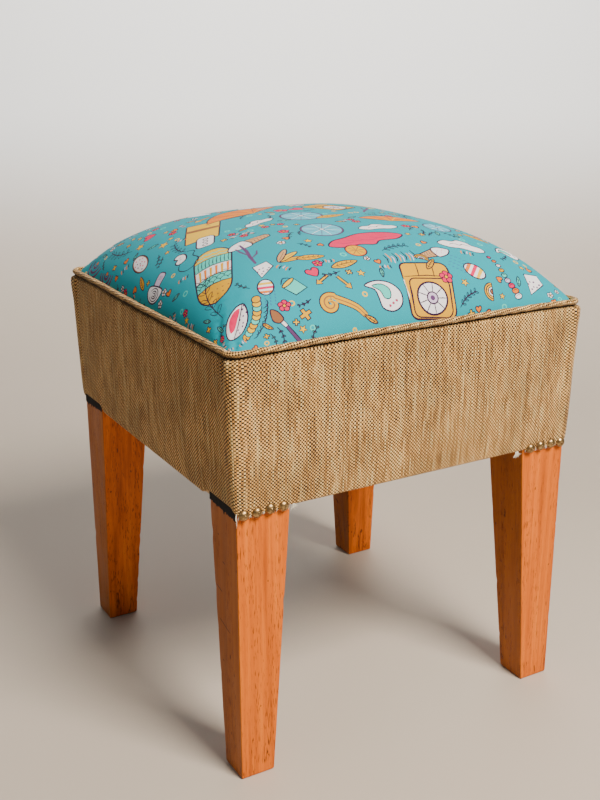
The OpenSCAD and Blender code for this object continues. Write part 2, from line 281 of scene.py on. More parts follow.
def raw_wood(name, light, dark):
    """Sawn, unfinished wood with growth rings and saw marks."""
    m = Nodes(name, Specular_IOR_Level=0.3)
    rings = m.add("ShaderNodeTexWave", {
        "Vector": m.place((1, 1, 1)), "Scale": 60.0, "Distortion": 6.0,
        "Detail": 3.0, "Detail Scale": 0.8,
    }).outputs[1]
    fibre = m.noise(m.place((300, 300, 300)), detail=3)
    colour = m.mix(m.times(rings, 0.6), (*light, 1), (*dark, 1))
    colour = m.mix(m.times(fibre, 0.35), colour, (*dark, 1))
    return m.finish(colour, 0.75, m.bump(fibre, 0.0002, 0.6))


def woven(name, pitch, warp_colours, weft_colours, gap, turn=0.0, bump=0.0004):
    """Coarse plain weave on the attribute cloth: light slubby warp along Y over a dark weft.
    The attribute's third number is how much painted shade darkens it; the low points between the yarns
    get painted shade too."""
    m = Nodes(name, Specular_IOR_Level=0.2, Sheen_Weight=0.12, Sheen_Roughness=0.5)
    cloth = m.place(attribute="cloth")
    if turn:
        cloth = m.add("ShaderNodeVectorRotate", {"Vector": cloth, "Angle": turn},
                      rotation_type="Z_AXIS").outputs[0]
    u, v, _ = m.parts(cloth)
    bend = m.minus(m.noise(m.place((60, 22, 1), attribute="cloth"), detail=2), 0.5)
    u = m.plus(u, m.times(bend, pitch * 2.2))
    skew = m.minus(m.noise(m.place((14, 14, 1), attribute="cloth"), detail=1), 0.5)
    v = m.plus(v, m.times(skew, pitch * 6))
    warp, weft = m.math("DIVIDE", u, pitch), m.math("DIVIDE", v, pitch)
    warp_id, weft_id = m.math("FLOOR", warp), m.math("FLOOR", weft)
    warp_round = m.math("SINE", m.times(m.minus(warp, warp_id), math.pi))
    weft_round = m.math("SINE", m.times(m.minus(weft, weft_id), math.pi))
    thick = m.noise(m.join(m.times(warp_id, 7.31), m.times(v, 16.0)), detail=2)
    slub = m.span(thick, 0.58, 0.66)
    thin = m.span(thick, 0.44, 0.34)
    wave_u = m.math("SINE", m.times(warp, math.pi))
    wave_v = m.math("SINE", m.times(weft, math.pi))
    crossing = m.times(wave_u, wave_v)
    crossing = m.minus(crossing, m.times(thin, 0.25))
    over = m.math("MAXIMUM", m.span(crossing, -0.22, 0.02), m.times(slub, 0.3))
    full = m.plus(m.times(weft_round, 0.35), 0.65)
    warp_rise = m.times(m.math("POWER", warp_round, 0.7), full)
    weft_rise = m.times(weft_round, m.plus(m.times(warp_round, 0.5), 0.2))
    height = m.add("ShaderNodeMix", {0: over, 2: weft_rise, 3: warp_rise}).outputs[0]
    strand = m.noise(m.join(m.times(warp_id, 3.17), m.times(v, 45.0)), detail=2)
    across = m.noise(m.join(m.times(u, 50.0), m.times(weft_id, 5.17)), detail=2)
    each = m.add("ShaderNodeTexWhiteNoise", {"W": warp_id}, noise_dimensions="1D").outputs[0]
    warp_tone = m.plus(strand, m.times(slub, 0.10))
    warp_tone = m.plus(warp_tone, m.times(m.minus(each, 0.5), 0.22))
    colour = m.mix(over, m.ramp(across, weft_colours), m.ramp(warp_tone, warp_colours))
    patch = m.noise(m.place((26, 18, 1), attribute="cloth"), detail=2)
    shade = m.ramp(patch, [(0.30, (0.70, 0.68, 0.64)), (0.60, (1.0, 1.0, 1.0))])
    colour = m.mix(1.0, colour, shade, "MULTIPLY")
    # Painted shade: the weave's low points, between the yarns, are darkened towards the gap colour.
    colour = m.mix(m.span(height, 0.02, 0.5), (*gap, 1), colour)
    # Painted shade, as much as the attribute's third number says: in the slot under the piping and on
    # the cord's underside.
    painted_shade = m.parts(m.place(attribute="cloth"))[2]
    colour = m.mix(m.times(painted_shade, 0.85), colour, (*gap, 1))
    fuzz = m.noise(m.place((1500, 1500, 1500)), detail=2)
    lift = m.plus(height, m.times(fuzz, 0.2))
    lift = m.plus(lift, m.times(slub, 0.4))
    return m.finish(colour, 0.85, m.bump(lift, bump, 0.9))


def band_cloth(turn=0.0, name="band_cloth"):
    return woven(name, 1.8 * MM, [
        (0.30, (0.56, 0.275, 0.072)), (0.50, (0.94, 0.525, 0.165)), (0.72, (1.0, 0.690, 0.280)),
    ], [
        (0.30, (0.010, 0.004, 0.001)), (0.60, (0.040, 0.017, 0.004)), (0.75, (0.12, 0.060, 0.018)),
    # The last colour is the gap colour: painted shade between the yarns and under the piping.
    ], (0.012, 0.005, 0.001), turn=turn)


def printed_cotton():
    """Plain cotton with its print in the colour attribute print."""
    m = Nodes("printed_cotton", Specular_IOR_Level=0.08, Sheen_Weight=0.03, Sheen_Roughness=0.5)
    ink = m.add("ShaderNodeAttribute", attribute_name="print").outputs["Color"]
    u, v, _ = m.parts(m.place((2600, 2600, 0), attribute="cloth"))
    weave = m.times(m.math("SINE", u), m.math("SINE", v))
    slubs = m.noise(m.place((900, 60, 1), attribute="cloth"), detail=3)
    tone = m.noise(m.place((25, 25, 25)), detail=3)
    light = m.plus(m.times(slubs, 0.16), m.times(tone, 0.12))
    light = m.plus(light, m.times(weave, 0.03))
    grey = m.ramp(light, [(0.0, (0.80, 0.80, 0.80)), (0.35, (1.0, 1.0, 1.0))])
    colour = m.mix(1.0, ink, grey, "MULTIPLY")
    height = m.plus(m.times(weave, 0.4), slubs)
    return m.finish(colour, 0.78, m.bump(height, 0.00012, 0.6))


def antique_brass():
    m = Nodes("antique_brass", Metallic=1.0)
    patina = m.noise(m.place((420, 420, 420)), detail=4, roughness=0.6)
    pits = m.noise(m.place((1500, 1500, 1500)), detail=2)
    colour = m.ramp(patina, [
        (0.30, (0.105, 0.062, 0.026)), (0.50, (0.32, 0.20, 0.085)), (0.70, (0.60, 0.43, 0.20)),
    ])
    roughness = m.span(patina, 0.3, 0.7, 0.50, 0.27)
    height = m.plus(patina, m.times(pits, 0.4))
    return m.finish(colour, roughness, m.bump(height, 0.0002, 0.5))


def bright_steel():
    m = Nodes("bright_steel", Metallic=1.0)
    scratch = m.noise(m.place((900, 900, 200)), detail=3)
    colour = m.ramp(scratch, [(0.3, (0.42, 0.42, 0.42)), (0.7, (0.66, 0.66, 0.66))])
    return m.finish(colour, m.span(scratch, 0.3, 0.7, 0.28, 0.45))


def soft_fill(name, low, high, scale, bump):
    """Foam or wadding: fine cells or matted fibres."""
    m = Nodes(name, Specular_IOR_Level=0.2)
    cells = m.noise(m.place((scale, scale, scale)), detail=4, roughness=0.65)
    broad = m.noise(m.place((30, 30, 30)), detail=2)
    tone = m.plus(m.times(cells, 0.6), m.times(broad, 0.4))
    return m.finish(m.ramp(tone, [(0.3, low), (0.7, high)]), 0.95, m.bump(cells, bump, 0.8))


def flat_weave(name, pitch, low, high, bump=0.0003):
    """Woven cloth for a flat CAD piece, its yarns along X and Y."""
    m = Nodes(name, Specular_IOR_Level=0.2)
    u, v, _ = m.parts(m.place((math.pi / pitch,) * 3))
    weave = m.times(m.math("SINE", u), m.math("SINE", v))
    weave = m.plus(m.times(weave, 0.5), 0.5)
    fibre = m.noise(m.place((0.9 / pitch,) * 3), detail=3)
    tone = m.plus(m.times(weave, 0.5), m.times(fibre, 0.5))
    return m.finish(m.ramp(tone, [(0.25, low), (0.75, high)]), 0.9, m.bump(weave, bump, 0.8))


WOOD = varnished_wood()
BAND = band_cloth()
PIPING = band_cloth(math.radians(38), "piping_cloth")
COTTON = printed_cotton()
BRASS = antique_brass()
STEEL = bright_steel()
YARN = soft_fill("loose_yarn", (0.62, 0.55, 0.42), (0.86, 0.81, 0.70), 900, 0.0002)
CAMBRIC = flat_weave("black_cambric", 0.6 * MM, (0.006, 0.006, 0.007), (0.028, 0.027, 0.029))

CAD_FINISH = {
    "frame_wood": raw_wood("pine", (0.72, 0.52, 0.30), (0.52, 0.32, 0.15)),
    "dowel_wood": raw_wood("beech", (0.70, 0.50, 0.32), (0.55, 0.36, 0.20)),
    "steel": STEEL,
    "webbing": flat_weave("jute_webbing", 1.8 * MM, (0.26, 0.18, 0.09), (0.56, 0.42, 0.24)),
    "hessian": flat_weave("hessian_cloth", 1.5 * MM, (0.22, 0.15, 0.075), (0.55, 0.41, 0.23)),
    "foam": soft_fill("cell_foam", (0.66, 0.56, 0.30), (0.84, 0.76, 0.50), 700, 0.0005),
    "wadding": soft_fill("polyester_wadding", (0.74, 0.74, 0.72), (0.93, 0.93, 0.91), 350, 0.0012),
    "cotton_cord": YARN,
    "brass": BRASS,
    "leg_wood": WOOD,
}


def dress_cad_nodes():
    """Gives each CAD node that stays its slot's material."""
    for part in frame["record"]["subparts"]:
        material = CAD_FINISH.get(part["material_slot"])
        if material:
            mesh = frame["nodes"][part["node"]].data
            mesh.materials.clear()
            mesh.materials.append(material)


# ---------------------------------------------------------------- legs

LEG_STEP = 3 * MM
ARC = 4                                     # segments of a leg's rounded edge
FLAT = 7                                    # segments across a leg's flat
CHIPS = 16                                  # knocks along a leg's edges
EASE = 1.3 * MM                             # radius of a leg's edges


def leg_section(side, radius):
    """Points round a rounded square from its outer corner, and the edge each belongs to."""
    near, far = -radius, -side + radius
    centres = [(near, near), (far, near), (far, far), (near, far)]
    points = []
    for corner, (cx, cy) in enumerate(centres):
        for k in range(ARC + 1):
            a = math.radians(90 * corner + 90 * k / ARC)
            points.append((cx + radius * math.cos(a), cy + radius * math.sin(a), corner, True))
        nx, ny = centres[(corner + 1) % 4]
        a = math.radians(90 * (corner + 1))
        x0, y0 = cx + radius * math.cos(a), cy + radius * math.sin(a)
        x1, y1 = nx + radius * math.cos(a), ny + radius * math.sin(a)
        for k in range(1, FLAT):
            t = k / FLAT
            points.append((x0 + (x1 - x0) * t, y0 + (y1 - y0) * t, corner, False))
    return points


def leg_side(z):
    return LEG_FOOT + (LEG_TOP - LEG_FOOT) * min(1.0, z / RAIL_Z)


def make_leg(name, sx, sy, seed):
    """A tapered leg with eased, knocked edges and a rounded foot."""
    rng = random.Random(seed)
    chips = [(rng.randrange(4), rng.uniform(0.01, RAIL_Z),
              rng.uniform(2, 6) * MM, rng.uniform(0.2, 0.9) * MM) for _ in range(CHIPS)]
    foot_r = 2.2 * MM                       # the foot's rounding
    levels = [0.0, 0.3 * MM, 0.8 * MM, 1.5 * MM, foot_r]
    count = int((LEG_HI.z - foot_r) / LEG_STEP)
    levels += [foot_r + (LEG_HI.z - foot_r) * (k + 1) / count for k in range(count)]
    verts, faces = [], []
    for z in levels:
        side = leg_side(z)
        draw = foot_r - math.sqrt(max(0.0, foot_r ** 2 - (foot_r - min(z, foot_r)) ** 2))
        ring = leg_section(side - 2 * draw, EASE)
        for x, y, corner, edge in ring:
            dx, dy = x - draw, y - draw
            if edge:
                for at, where, length, depth in chips:
                    if at == corner:
                        bite = depth * math.exp(-((z - where) / length) ** 2)
                        mid = -side / 2
                        reach = math.hypot(dx - mid, dy - mid)
                        dx -= bite * (dx - mid) / reach
                        dy -= bite * (dy - mid) / reach
            dx += 0.18 * MM * wobble(dx, dy, z, 40 * MM, seed)
            dy += 0.18 * MM * wobble(dy, dx, z, 40 * MM, seed + 5)
            verts.append((sx * (LEG_X + dx), sy * (LEG_Y + dy), z))
    cols = len(ring)
    faces = grid_faces(len(levels), cols, closed=True)
    faces.append(tuple(range(cols - 1, -1, -1)))
    top = (len(levels) - 1) * cols
    faces.append(tuple(range(top, top + cols)))
    if sx * sy < 0:
        faces = [f[::-1] for f in faces]
    leg = piece(name, verts, faces, WOOD)
    leg.data.polygons[-1].use_smooth = False
    leg.data.polygons[-2].use_smooth = False
    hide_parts(name)
    return leg


# ---------------------------------------------------------------- boxing band

CORNER = 14 * MM                            # the band's corners are worked out in this square
STEP = 2.6 * MM
WALL_TOP = 421 * MM
SHOULDER = [                                # height and how far out, from the seam to the wall
    (434.4, -0.6), (432.6, 0.3), (431.5, 1.7), (430.8, 3.0), (429.8, 4.1), (427.5, 4.7), (421, 4.8),
]
FOLD_Z = RAIL_Z
HEM = 13 * MM
HEM_ROWS = 5                                # rows of hem under a rail, or of edge over a leg
WALL_ROWS = 50
WALL_LOW = FOLD_Z + 1.5 * MM                # where the wall ends and the hem begins
CLOTH_ZERO = 440 * MM                       # height where the band's weave is measured from
LIFT = 5 * MM                               # the band's edge is higher over the legs' side faces
TURN = [((-1, 0), (0, -1)), ((0, -1), (1, 0)), ((1, 0), (0, 1)), ((0, 1), (-1, 0))]


def corner_reach(angle, radius):
    """Distance from the inner corner of the corner square to a rounded corner, along an angle."""
    c, s = math.cos(angle), math.sin(angle)
    centre = CORNER - radius
    if CORNER * s <= centre * c:
        return CORNER / c
    if CORNER * c <= centre * s:
        return CORNER / s
    along = centre * (c + s)
    return along + math.sqrt(max(0.0, along ** 2 - 2 * centre ** 2 + radius ** 2))


def seat_path():
    """Stations round the seat from the back left corner: what each lies on, its side, its place
    along that side from -1 to 1 (or its angle, on a corner) and in metres, and the side's offset."""
    out = []
    for k in range(4):
        half = (SEAT_Y if k % 2 == 0 else SEAT_X) - CORNER
        face = SEAT_X if k % 2 == 0 else SEAT_Y
        n = int(2 * half / STEP)
        for i in range(n + 1):
            t = -1 + 2 * i / n
            out.append(("side", k, t, t * half, face))
        for i in range(1, 12):
            out.append(("corner", k, math.radians(90 * i / 12), half, face))
    return out


def path_point(station, out, radius):
    """A station's point in plan, moved outwards by out, with its corners rounded to radius."""
    kind, k, t, s, face = station
    (nx, ny), (ax, ay) = TURN[k]
    if kind == "side":
        return nx * (face + out) + ax * s, ny * (face + out) + ay * s
    reach = corner_reach(t, radius)
    along = (reach + out) * math.sin(t)
    forth = (reach + out) * math.cos(t)
    stretch = 1 + 0.35 * out / CORNER * math.sin(2 * t)
    across = face - CORNER
    return nx * (across + forth * stretch) + ax * (s + along * stretch), \
        ny * (across + forth * stretch) + ay * (s + along * stretch)


def leg_cover(station, blend=0.5 * MM):
    """From 0 between the legs to 1 over a leg."""
    kind, k, _, s, _ = station
    if kind == "corner":
        return 1.0
    half = LEG_Y if k % 2 == 0 else LEG_X
    return smoothstep(half - LEG_TOP - blend, half - LEG_TOP + 0.5 * MM, abs(s))


def side_share(station):
    """From 0 on the front and back to 1 on the side faces, turning over at the corners."""
    kind, k, t, _, _ = station
    if kind == "corner":
        turn = t / math.radians(90)
        return 1 - smoothstep(0.2, 0.8, turn) if k % 2 == 0 else smoothstep(0.2, 0.8, turn)
    return 1.0 if k % 2 == 0 else 0.0


def wall_out(z):
    """How far the wall stands out: tight at the lower edge, flaring up to the piping."""
    t = min(1.0, max(0.0, (z - FOLD_Z) / (WALL_TOP - FOLD_Z)))
    return (0.35 + 4.45 * t ** 0.62) * MM


def lengths_total():
    """The way round the seat, near enough, with its corners rounded."""
    return 4 * (SEAT_X + SEAT_Y) - 2 * CORNER


def seam_drop(s):
    """The seam under the piping isn't quite level."""
    turn = 2 * math.pi * s / lengths_total()
    return 0.6 * MM * math.sin(3 * turn + 0.7) + 0.4 * MM * math.sin(7 * turn)


def corner_gap(station):
    """How far a station is from the nearer corner along its side: 0 on a corner."""
    kind, _, t, s, _ = station
    if kind == "corner":
        return 0.0
    return (1 - abs(t)) * s / t if t else 1.0


def wall_point(station, s, z, out):
    """A point of the band's wall, or of its shoulder where out is given: place and painted shade."""
    gap = corner_gap(station)
    x0, y0 = path_point(station, 0, 8 * MM)
    t = (z - FOLD_Z) / (WALL_TOP - FOLD_Z)
    o = wall_out(z) if out is None else out
    if out is None and station[0] == "side":
        o += 1.0 * MM * smoothstep(0.0, 0.06, gap) * math.sin(math.pi * min(1, max(0, t)))
    o += 0.55 * MM * wobble(x0, y0, z, 55 * MM, 2.0) * smoothstep(0.0, 0.3, t)
    gathers = math.exp(-(gap / (13 * MM)) ** 2) * math.sin(s / (1.15 * MM))
    o += 0.75 * MM * gathers * smoothstep(398 * MM, 424 * MM, z)
    x, y = path_point(station, o, 4 * MM + 4 * MM * smoothstep(FOLD_Z, 360 * MM, z))
    raised = side_share(station) * leg_cover(station, 13 * MM)
    lift = LIFT * raised * smoothstep(345 * MM, WALL_LOW, z)
    drop = seam_drop(s) * smoothstep(395 * MM, 425 * MM, z)
    # The second value is painted shade: the top rows, in the slot under the piping, go dark.
    return (x, y, z + lift + drop), smoothstep(430.2 * MM, 431.6 * MM, z)


def hem_point(station, s, j):
    """A point of row j below the wall: a raw torn edge over a leg, a fold in under a rail."""
    side, leg = side_share(station), leg_cover(station)
    lift = LIFT * side * leg_cover(station, 13 * MM)
    depth = j / HEM_ROWS
    base = wall_out(WALL_LOW)
    if leg > 0.5:
        fray = wobble(s, 0, 0, 7 * MM, 4.0) + 0.6 * wobble(s, 0, 0, 2.5 * MM, 5.0)
        raw = 4.6 * MM * depth + 0.55 * MM * fray * depth
        z = WALL_LOW + lift - raw * (1 - side) - 1.3 * MM * side * depth
        o = base - 0.1 * MM * depth - 0.9 * MM * side * depth ** 2
    else:
        a = min(1.0, j / 3) * math.pi / 2
        o = base - 1.4 * MM * (1 - math.cos(a)) - (HEM * (j - 3) / 2 if j > 3 else 0.0)
        z = WALL_LOW + lift - 2.6 * MM * math.sin(a)
    return (*path_point(station, o, 4 * MM), z)


def make_band():
    """One strip of cloth round the seat, open at a seam in its back left corner."""
    stations = seat_path()
    stations.append(stations[0])
    cols = len(stations)
    lengths = [0.0]
    for a, b in zip(stations, stations[1:]):
        lengths.append(lengths[-1] + math.dist(path_point(a, 0, 6 * MM), path_point(b, 0, 6 * MM)))
    rows = [(z * MM, out * MM) for z, out in SHOULDER]
    rows += [(WALL_TOP + (WALL_LOW - WALL_TOP) * i / WALL_ROWS, None) for i in range(1, WALL_ROWS + 1)]
    verts, cloth = [], []
    for z, out in rows:
        for station, s in zip(stations, lengths):
            point, painted_shade = wall_point(station, s, z, out)
            verts.append(point)
            cloth.append((s, CLOTH_ZERO - z, painted_shade))
    for j in range(1, HEM_ROWS + 1):
        for station, s in zip(stations, lengths):
            verts.append(hem_point(station, s, j))
            cloth.append((s, CLOTH_ZERO - WALL_LOW + 1.2 * MM * j, 0))
    faces = grid_faces(len(rows), cols)
    last = (len(rows) - 1) * cols
    over = [leg_cover(station) > 0.5 for station in stations]
    for j in range(HEM_ROWS):
        first = last + j * cols
        for c in range(cols - 1):
            if j == 0 or over[c] == over[c + 1]:
                faces.append((first + c, first + c + 1, first + cols + c + 1, first + cols + c))
    band = piece("boxing_band_cloth", verts, [f[::-1] for f in faces], BAND)
    point_vectors(band, "cloth", cloth)
    thicken(band, 1.0 * MM, -1)
    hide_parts("boxing_band")
    return band


def make_side_pad():
    """The wadding behind the band: a closed hoop that fills it."""
    stations = seat_path()
    outline = [(429, 0.6), (426, 2.2), (400, 1.9), (360, 1.0), (320, 0.1), (302, -0.5)]
    inner = LEG_X - SEAT_X + 0.45 * MM
    verts = []
    for st in stations:
        ring = [(path_point(st, out * MM, 4 * MM), z * MM) for z, out in outline]
        ring += [(path_point(st, inner, 1 * MM), z * MM) for z in (302, 345, 388, 429)]
        verts += [(x, y, z) for (x, y), z in ring]
    n, cols = len(stations), len(ring)
    faces = [f[::-1] for f in grid_faces(n, cols, closed=True)]
    last = (n - 1) * cols
    faces += [(last + k, k, (k + 1) % cols, last + (k + 1) % cols)[::-1] for k in range(cols)]
    pad = piece("side_pad", verts, faces, CAD_FINISH["wadding"])
    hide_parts("side_wadding")


# ---------------------------------------------------------------- piping

def make_piping():
    """Cloth-covered cord along the seam, slightly uneven, with small puckers where it turns."""
    stations = seat_path()
    around = 18
    verts, cloth = [], []
    s = 0.0
    before = None
    for st in stations:
        x, y = path_point(st, PIPE_X - SEAT_X, PIPE_CORNER - 1 * MM)
        if before:
            s += math.dist(before, (x, y))
        before = (x, y)
        (nx, ny), (ax, ay) = TURN[st[1]]
        if st[0] == "corner":
            c, d = math.cos(st[2]), math.sin(st[2])
            nx, ny = nx * c + ax * d, ny * c + ay * d
        drift = 0.35 * MM * wobble(s, 0, 0, 45 * MM, 1.0)
        z0 = PIPE_Z + seam_drop(s) + 0.25 * MM * wobble(s, 0, 0, 30 * MM, 8.0)
        for k in range(around):
            a = 2 * math.pi * k / around
            lumps = 0.05 * wobble(s, a * 2 * MM, 0, 6 * MM, 6.0)
            lumps += 0.03 * math.sin(s / (2.4 * MM) + a * 2)
            r = PIPE_R * (1 + lumps)
            d = r * math.cos(a) + drift
            verts.append((x + nx * d, y + ny * d, z0 + r * math.sin(a)))
            # The third number is painted shade: the cord's underside is darkened.
            cloth.append((s, a * PIPE_R, smoothstep(-0.45, -0.85, math.sin(a))))
    n = len(stations)
    faces = []
    for i in range(n):
        here, ahead = i * around, (i + 1) % n * around
        for k in range(around):
            m = (k + 1) % around
            faces.append((here + k, here + m, ahead + m, ahead + k))
    pipe = piece("piping_cloth_cover", verts, faces, PIPING)
    point_vectors(pipe, "cloth", cloth)
    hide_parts("piping_cover")
    return pipe


# ---------------------------------------------------------------- domed cover

RISE = COVER_HI.z - COVER_LO.z
HALF_X, HALF_Y = COVER_HI.x + 1.2 * MM, COVER_HI.y + 1.2 * MM
SEAM_Z = COVER_LO.z + 1 * MM
GRID = 84                                   # cells of the cloth's grid each way
SWELL = 3.5 * MM                            # how far the simulated cloth may rise from its start
RELAX_FRAMES = 18
PAD_CELLS = 3                               # the pad has a point at every third one of the cloth
PAD_UNDER = 1.6                             # millimetres from the cloth down to the pad


def dome_fall(s):
    """How the dome's height falls off from its middle to its edges."""
    return 1 - abs(s) ** 3


def arc_places(half, n):
    """Plan places, from -1 to 1, that are evenly spaced along the dome's middle section."""
    steps = 4000
    fine = [-math.cos(math.pi * i / steps) for i in range(steps + 1)]
    heights = [RISE * math.sqrt(max(0, dome_fall(s))) for s in fine]
    total = [0.0]
    for i in range(steps):
        along, up = (fine[i + 1] - fine[i]) * half, heights[i + 1] - heights[i]
        total.append(total[-1] + math.hypot(along, up))
    marks = np.linspace(0, total[-1], n + 1)
    return np.interp(marks, total, fine), total[-1] / 2


def round_corner(x, y):
    """Pulls a point of the square plan into the piping's rounded corner."""
    box = PIPE_CORNER + 2 * MM
    px, py = abs(x) - (HALF_X - box), abs(y) - (HALF_Y - box)
    if px <= 0 or py <= 0:
        return x, y
    shrink = max(px, py) / math.hypot(px, py)
    px, py = px * shrink, py * shrink
    return math.copysign(HALF_X - box + px, x), math.copysign(HALF_Y - box + py, y)


def dome_grid():
    """The dome's points, a grid over the flat cloth, and half the flat cloth's sizes."""
    places_x, flat_x = arc_places(HALF_X, GRID)
    places_y, flat_y = arc_places(HALF_Y, GRID)
    points = np.zeros((GRID + 1, GRID + 1, 3))
    for i, u in enumerate(places_x):
        for j, v in enumerate(places_y):
            x, y = round_corner(u * HALF_X, v * HALF_Y)
            z = SEAM_Z + RISE * math.sqrt(max(0.0, dome_fall(u) * dome_fall(v)))
            points[i, j] = (x, y, z)
    return points, flat_x, flat_y


def relax_dome(points):
    """Blows the cloth up by simulation, so that it pulls into shallow folds at its corners."""
    n = GRID + 1
    start = points.copy()
    start[1:-1, 1:-1, 2] -= 3 * MM
    mesh = bpy.data.meshes.new("relax")
    mesh.from_pydata([tuple(p) for p in start.reshape(-1, 3)], [], [f[::-1] for f in grid_faces(n, n)])
    obj = bpy.data.objects.new("relax", mesh)
    bpy.context.scene.collection.objects.link(obj)
    pins = obj.vertex_groups.new(name="pins")
    border = [i * n + j for i in range(n) for j in range(n) if i in (0, GRID) or j in (0, GRID)]
    pins.add(border, 1.0, "REPLACE")
    cloth = obj.modifiers.new("cloth", "CLOTH")
    settings = cloth.settings
    settings.quality = 6
    settings.mass = 0.25
    settings.tension_stiffness = 18
    settings.compression_stiffness = 18
    settings.shear_stiffness = 6
    settings.bending_stiffness = 0.4
    settings.vertex_group_mass = "pins"
    settings.use_pressure = True
    settings.uniform_pressure_force = 4.0
    settings.effector_weights.gravity = 0
    cloth.collision_settings.use_collision = False
    cloth.collision_settings.use_self_collision = False
    scene = bpy.context.scene
    for f in range(1, RELAX_FRAMES + 1):
        scene.frame_set(f)
    done = obj.evaluated_get(bpy.context.evaluated_depsgraph_get())
    result = np.zeros(n * n * 3)
    done.data.vertices.foreach_get("co", result)
    result = result.reshape(n, n, 3)
    scene.frame_set(1)
    bpy.data.objects.remove(obj)
    bpy.data.meshes.remove(mesh)
    move = result - start
    size = np.linalg.norm(move, axis=2, keepdims=True)
    return start + move * np.minimum(1, SWELL / np.maximum(size, 1e-9))


def sample(grid, a, b):
    """Catmull-Rom interpolation of a grid at places a and b, counted in cells."""
    n = grid.shape[0] - 1
    i, j = np.clip(np.floor(a).astype(int), 0, n - 1), np.clip(np.floor(b).astype(int), 0, n - 1)
    s, t = a - i, b - j

    def weights(x):
        return np.stack([
            -0.5 * x + x ** 2 - 0.5 * x ** 3,
            1 - 2.5 * x ** 2 + 1.5 * x ** 3,
            0.5 * x + 2 * x ** 2 - 1.5 * x ** 3,
            -0.5 * x ** 2 + 0.5 * x ** 3,
        ])

    ws, wt = weights(s), weights(t)
    out = np.zeros((len(a), grid.shape[2]))
    for p in range(4):
        ip = np.clip(i + p - 1, 0, n)
        for q in range(4):
            jq = np.clip(j + q - 1, 0, n)
            out += (ws[p] * wt[q])[:, None] * grid[ip, jq]
    return out


def make_cover():
    """The printed cover, its print cut into the mesh, and the pad under it."""
    points, flat_x, flat_y = dome_grid()
    points = relax_dome(points)
    flat, faces, inks = print_layout(flat_x, flat_y)
    a = (flat[:, 0] + flat_x) / (2 * flat_x) * GRID
    b = (flat[:, 1] + flat_y) / (2 * flat_y) * GRID
    verts = sample(points, np.clip(a, 0, GRID), np.clip(b, 0, GRID))
    step = 0.35                             # cells each way over which the slope is taken
    du = sample(points, np.clip(a + step, 0, GRID), b) - sample(points, np.clip(a - step, 0, GRID), b)
    dv = sample(points, a, np.clip(b + step, 0, GRID)) - sample(points, a, np.clip(b - step, 0, GRID))
    normals = np.cross(du, dv)
    normals /= np.maximum(np.linalg.norm(normals, axis=1, keepdims=True), 1e-12)
    cover = piece("printed_cotton_cover", verts, faces, COTTON)
    point_vectors(cover, "cloth", np.column_stack([flat, np.zeros(len(flat))]))
    layer = cover.data.attributes.new("print", "FLOAT_COLOR", "CORNER")
    colours = np.ones((len(cover.data.loops), 4), np.float32)
    starts = np.array([p.loop_start for p in cover.data.polygons])
    for k in range(3):
        colours[starts + k, :3] = inks
    layer.data.foreach_set("color", colours.ravel())
    cover.data.normals_split_custom_set_from_vertices([tuple(v) for v in normals])
    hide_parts("top_cover")
    make_pad(points)
    return cover, flat_x, flat_y


def make_pad(points):
    """The wadding and foam's crowned top: a closed pad that fills the cover."""
    coarse = points[::PAD_CELLS, ::PAD_CELLS].copy()
    base = SEAM_Z - 2 * MM
    m = coarse.shape[0]
    du, dv = np.gradient(coarse, axis=0), np.gradient(coarse, axis=1)
    normal = np.cross(du, dv)
    normal /= np.maximum(np.linalg.norm(normal, axis=2, keepdims=True), 1e-12)
    normal[..., :2] *= 0.9
    top = coarse - normal * PAD_UNDER * MM
    rim = [(i, 0) for i in range(m)] + [(m - 1, j) for j in range(1, m)]
    rim += [(i, m - 1) for i in range(m - 2, -1, -1)] + [(0, j) for j in range(m - 2, 0, -1)]
    for i, j in rim:
        top[i, j, :2] *= 0.985
        top[i, j, 2] = base
    verts = [tuple(p) for p in top.reshape(-1, 3)] + [(0, 0, base)]
    faces = [f[::-1] for f in grid_faces(m, m)]
    ids = [i * m + j for i, j in rim]
    faces += [(ids[k], len(verts) - 1, ids[(k + 1) % len(ids)]) for k in range(len(ids))]
    pad = piece("crown_pad", verts, faces, CAD_FINISH["wadding"])
    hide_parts("crown_wadding")
    return pad


# ---------------------------------------------------------------- print
# The print is drawn in millimetres on the flat cloth, in generic motifs of this script's own,
# and cut into the cover's mesh, so that its edges stay sharp.

INK = (0.035, 0.012, 0.040)
TEAL = (0.004, 0.325, 0.400)
WHITE = (0.86, 0.83, 0.86)
LILAC = (0.62, 0.50, 0.68)
MUSTARD = (0.76, 0.38, 0.006)
YELLOW = (0.84, 0.50, 0.03)
ORANGE = (0.80, 0.20, 0.015)
PINK = (0.76, 0.015, 0.10)
MINT = (0.07, 0.62, 0.52)
BROWN = (0.30, 0.12, 0.05)
PLUM = (0.12, 0.05, 0.14)
TAN = (0.58, 0.32, 0.14)
NAVY = (0.05, 0.14, 0.30)
BLUE = (0.10, 0.48, 0.62)
DEEP_PINK = (0.55, 0.02, 0.10)


def arc(rx, ry=None, start=0, end=360, n=None, at=(0, 0)):
    """Points of an elliptical arc; a whole turn leaves out its repeated last point."""
    ry = rx if ry is None else ry
    n = n or max(8, int(abs(end - start) / 360 * (10 + 1.3 * max(rx, ry))))
    count = n if abs(end - start) >= 360 else n + 1
    turn = [math.radians(start + (end - start) * k / n) for k in range(count)]
    return [(at[0] + rx * math.cos(a), at[1] + ry * math.sin(a)) for a in turn]


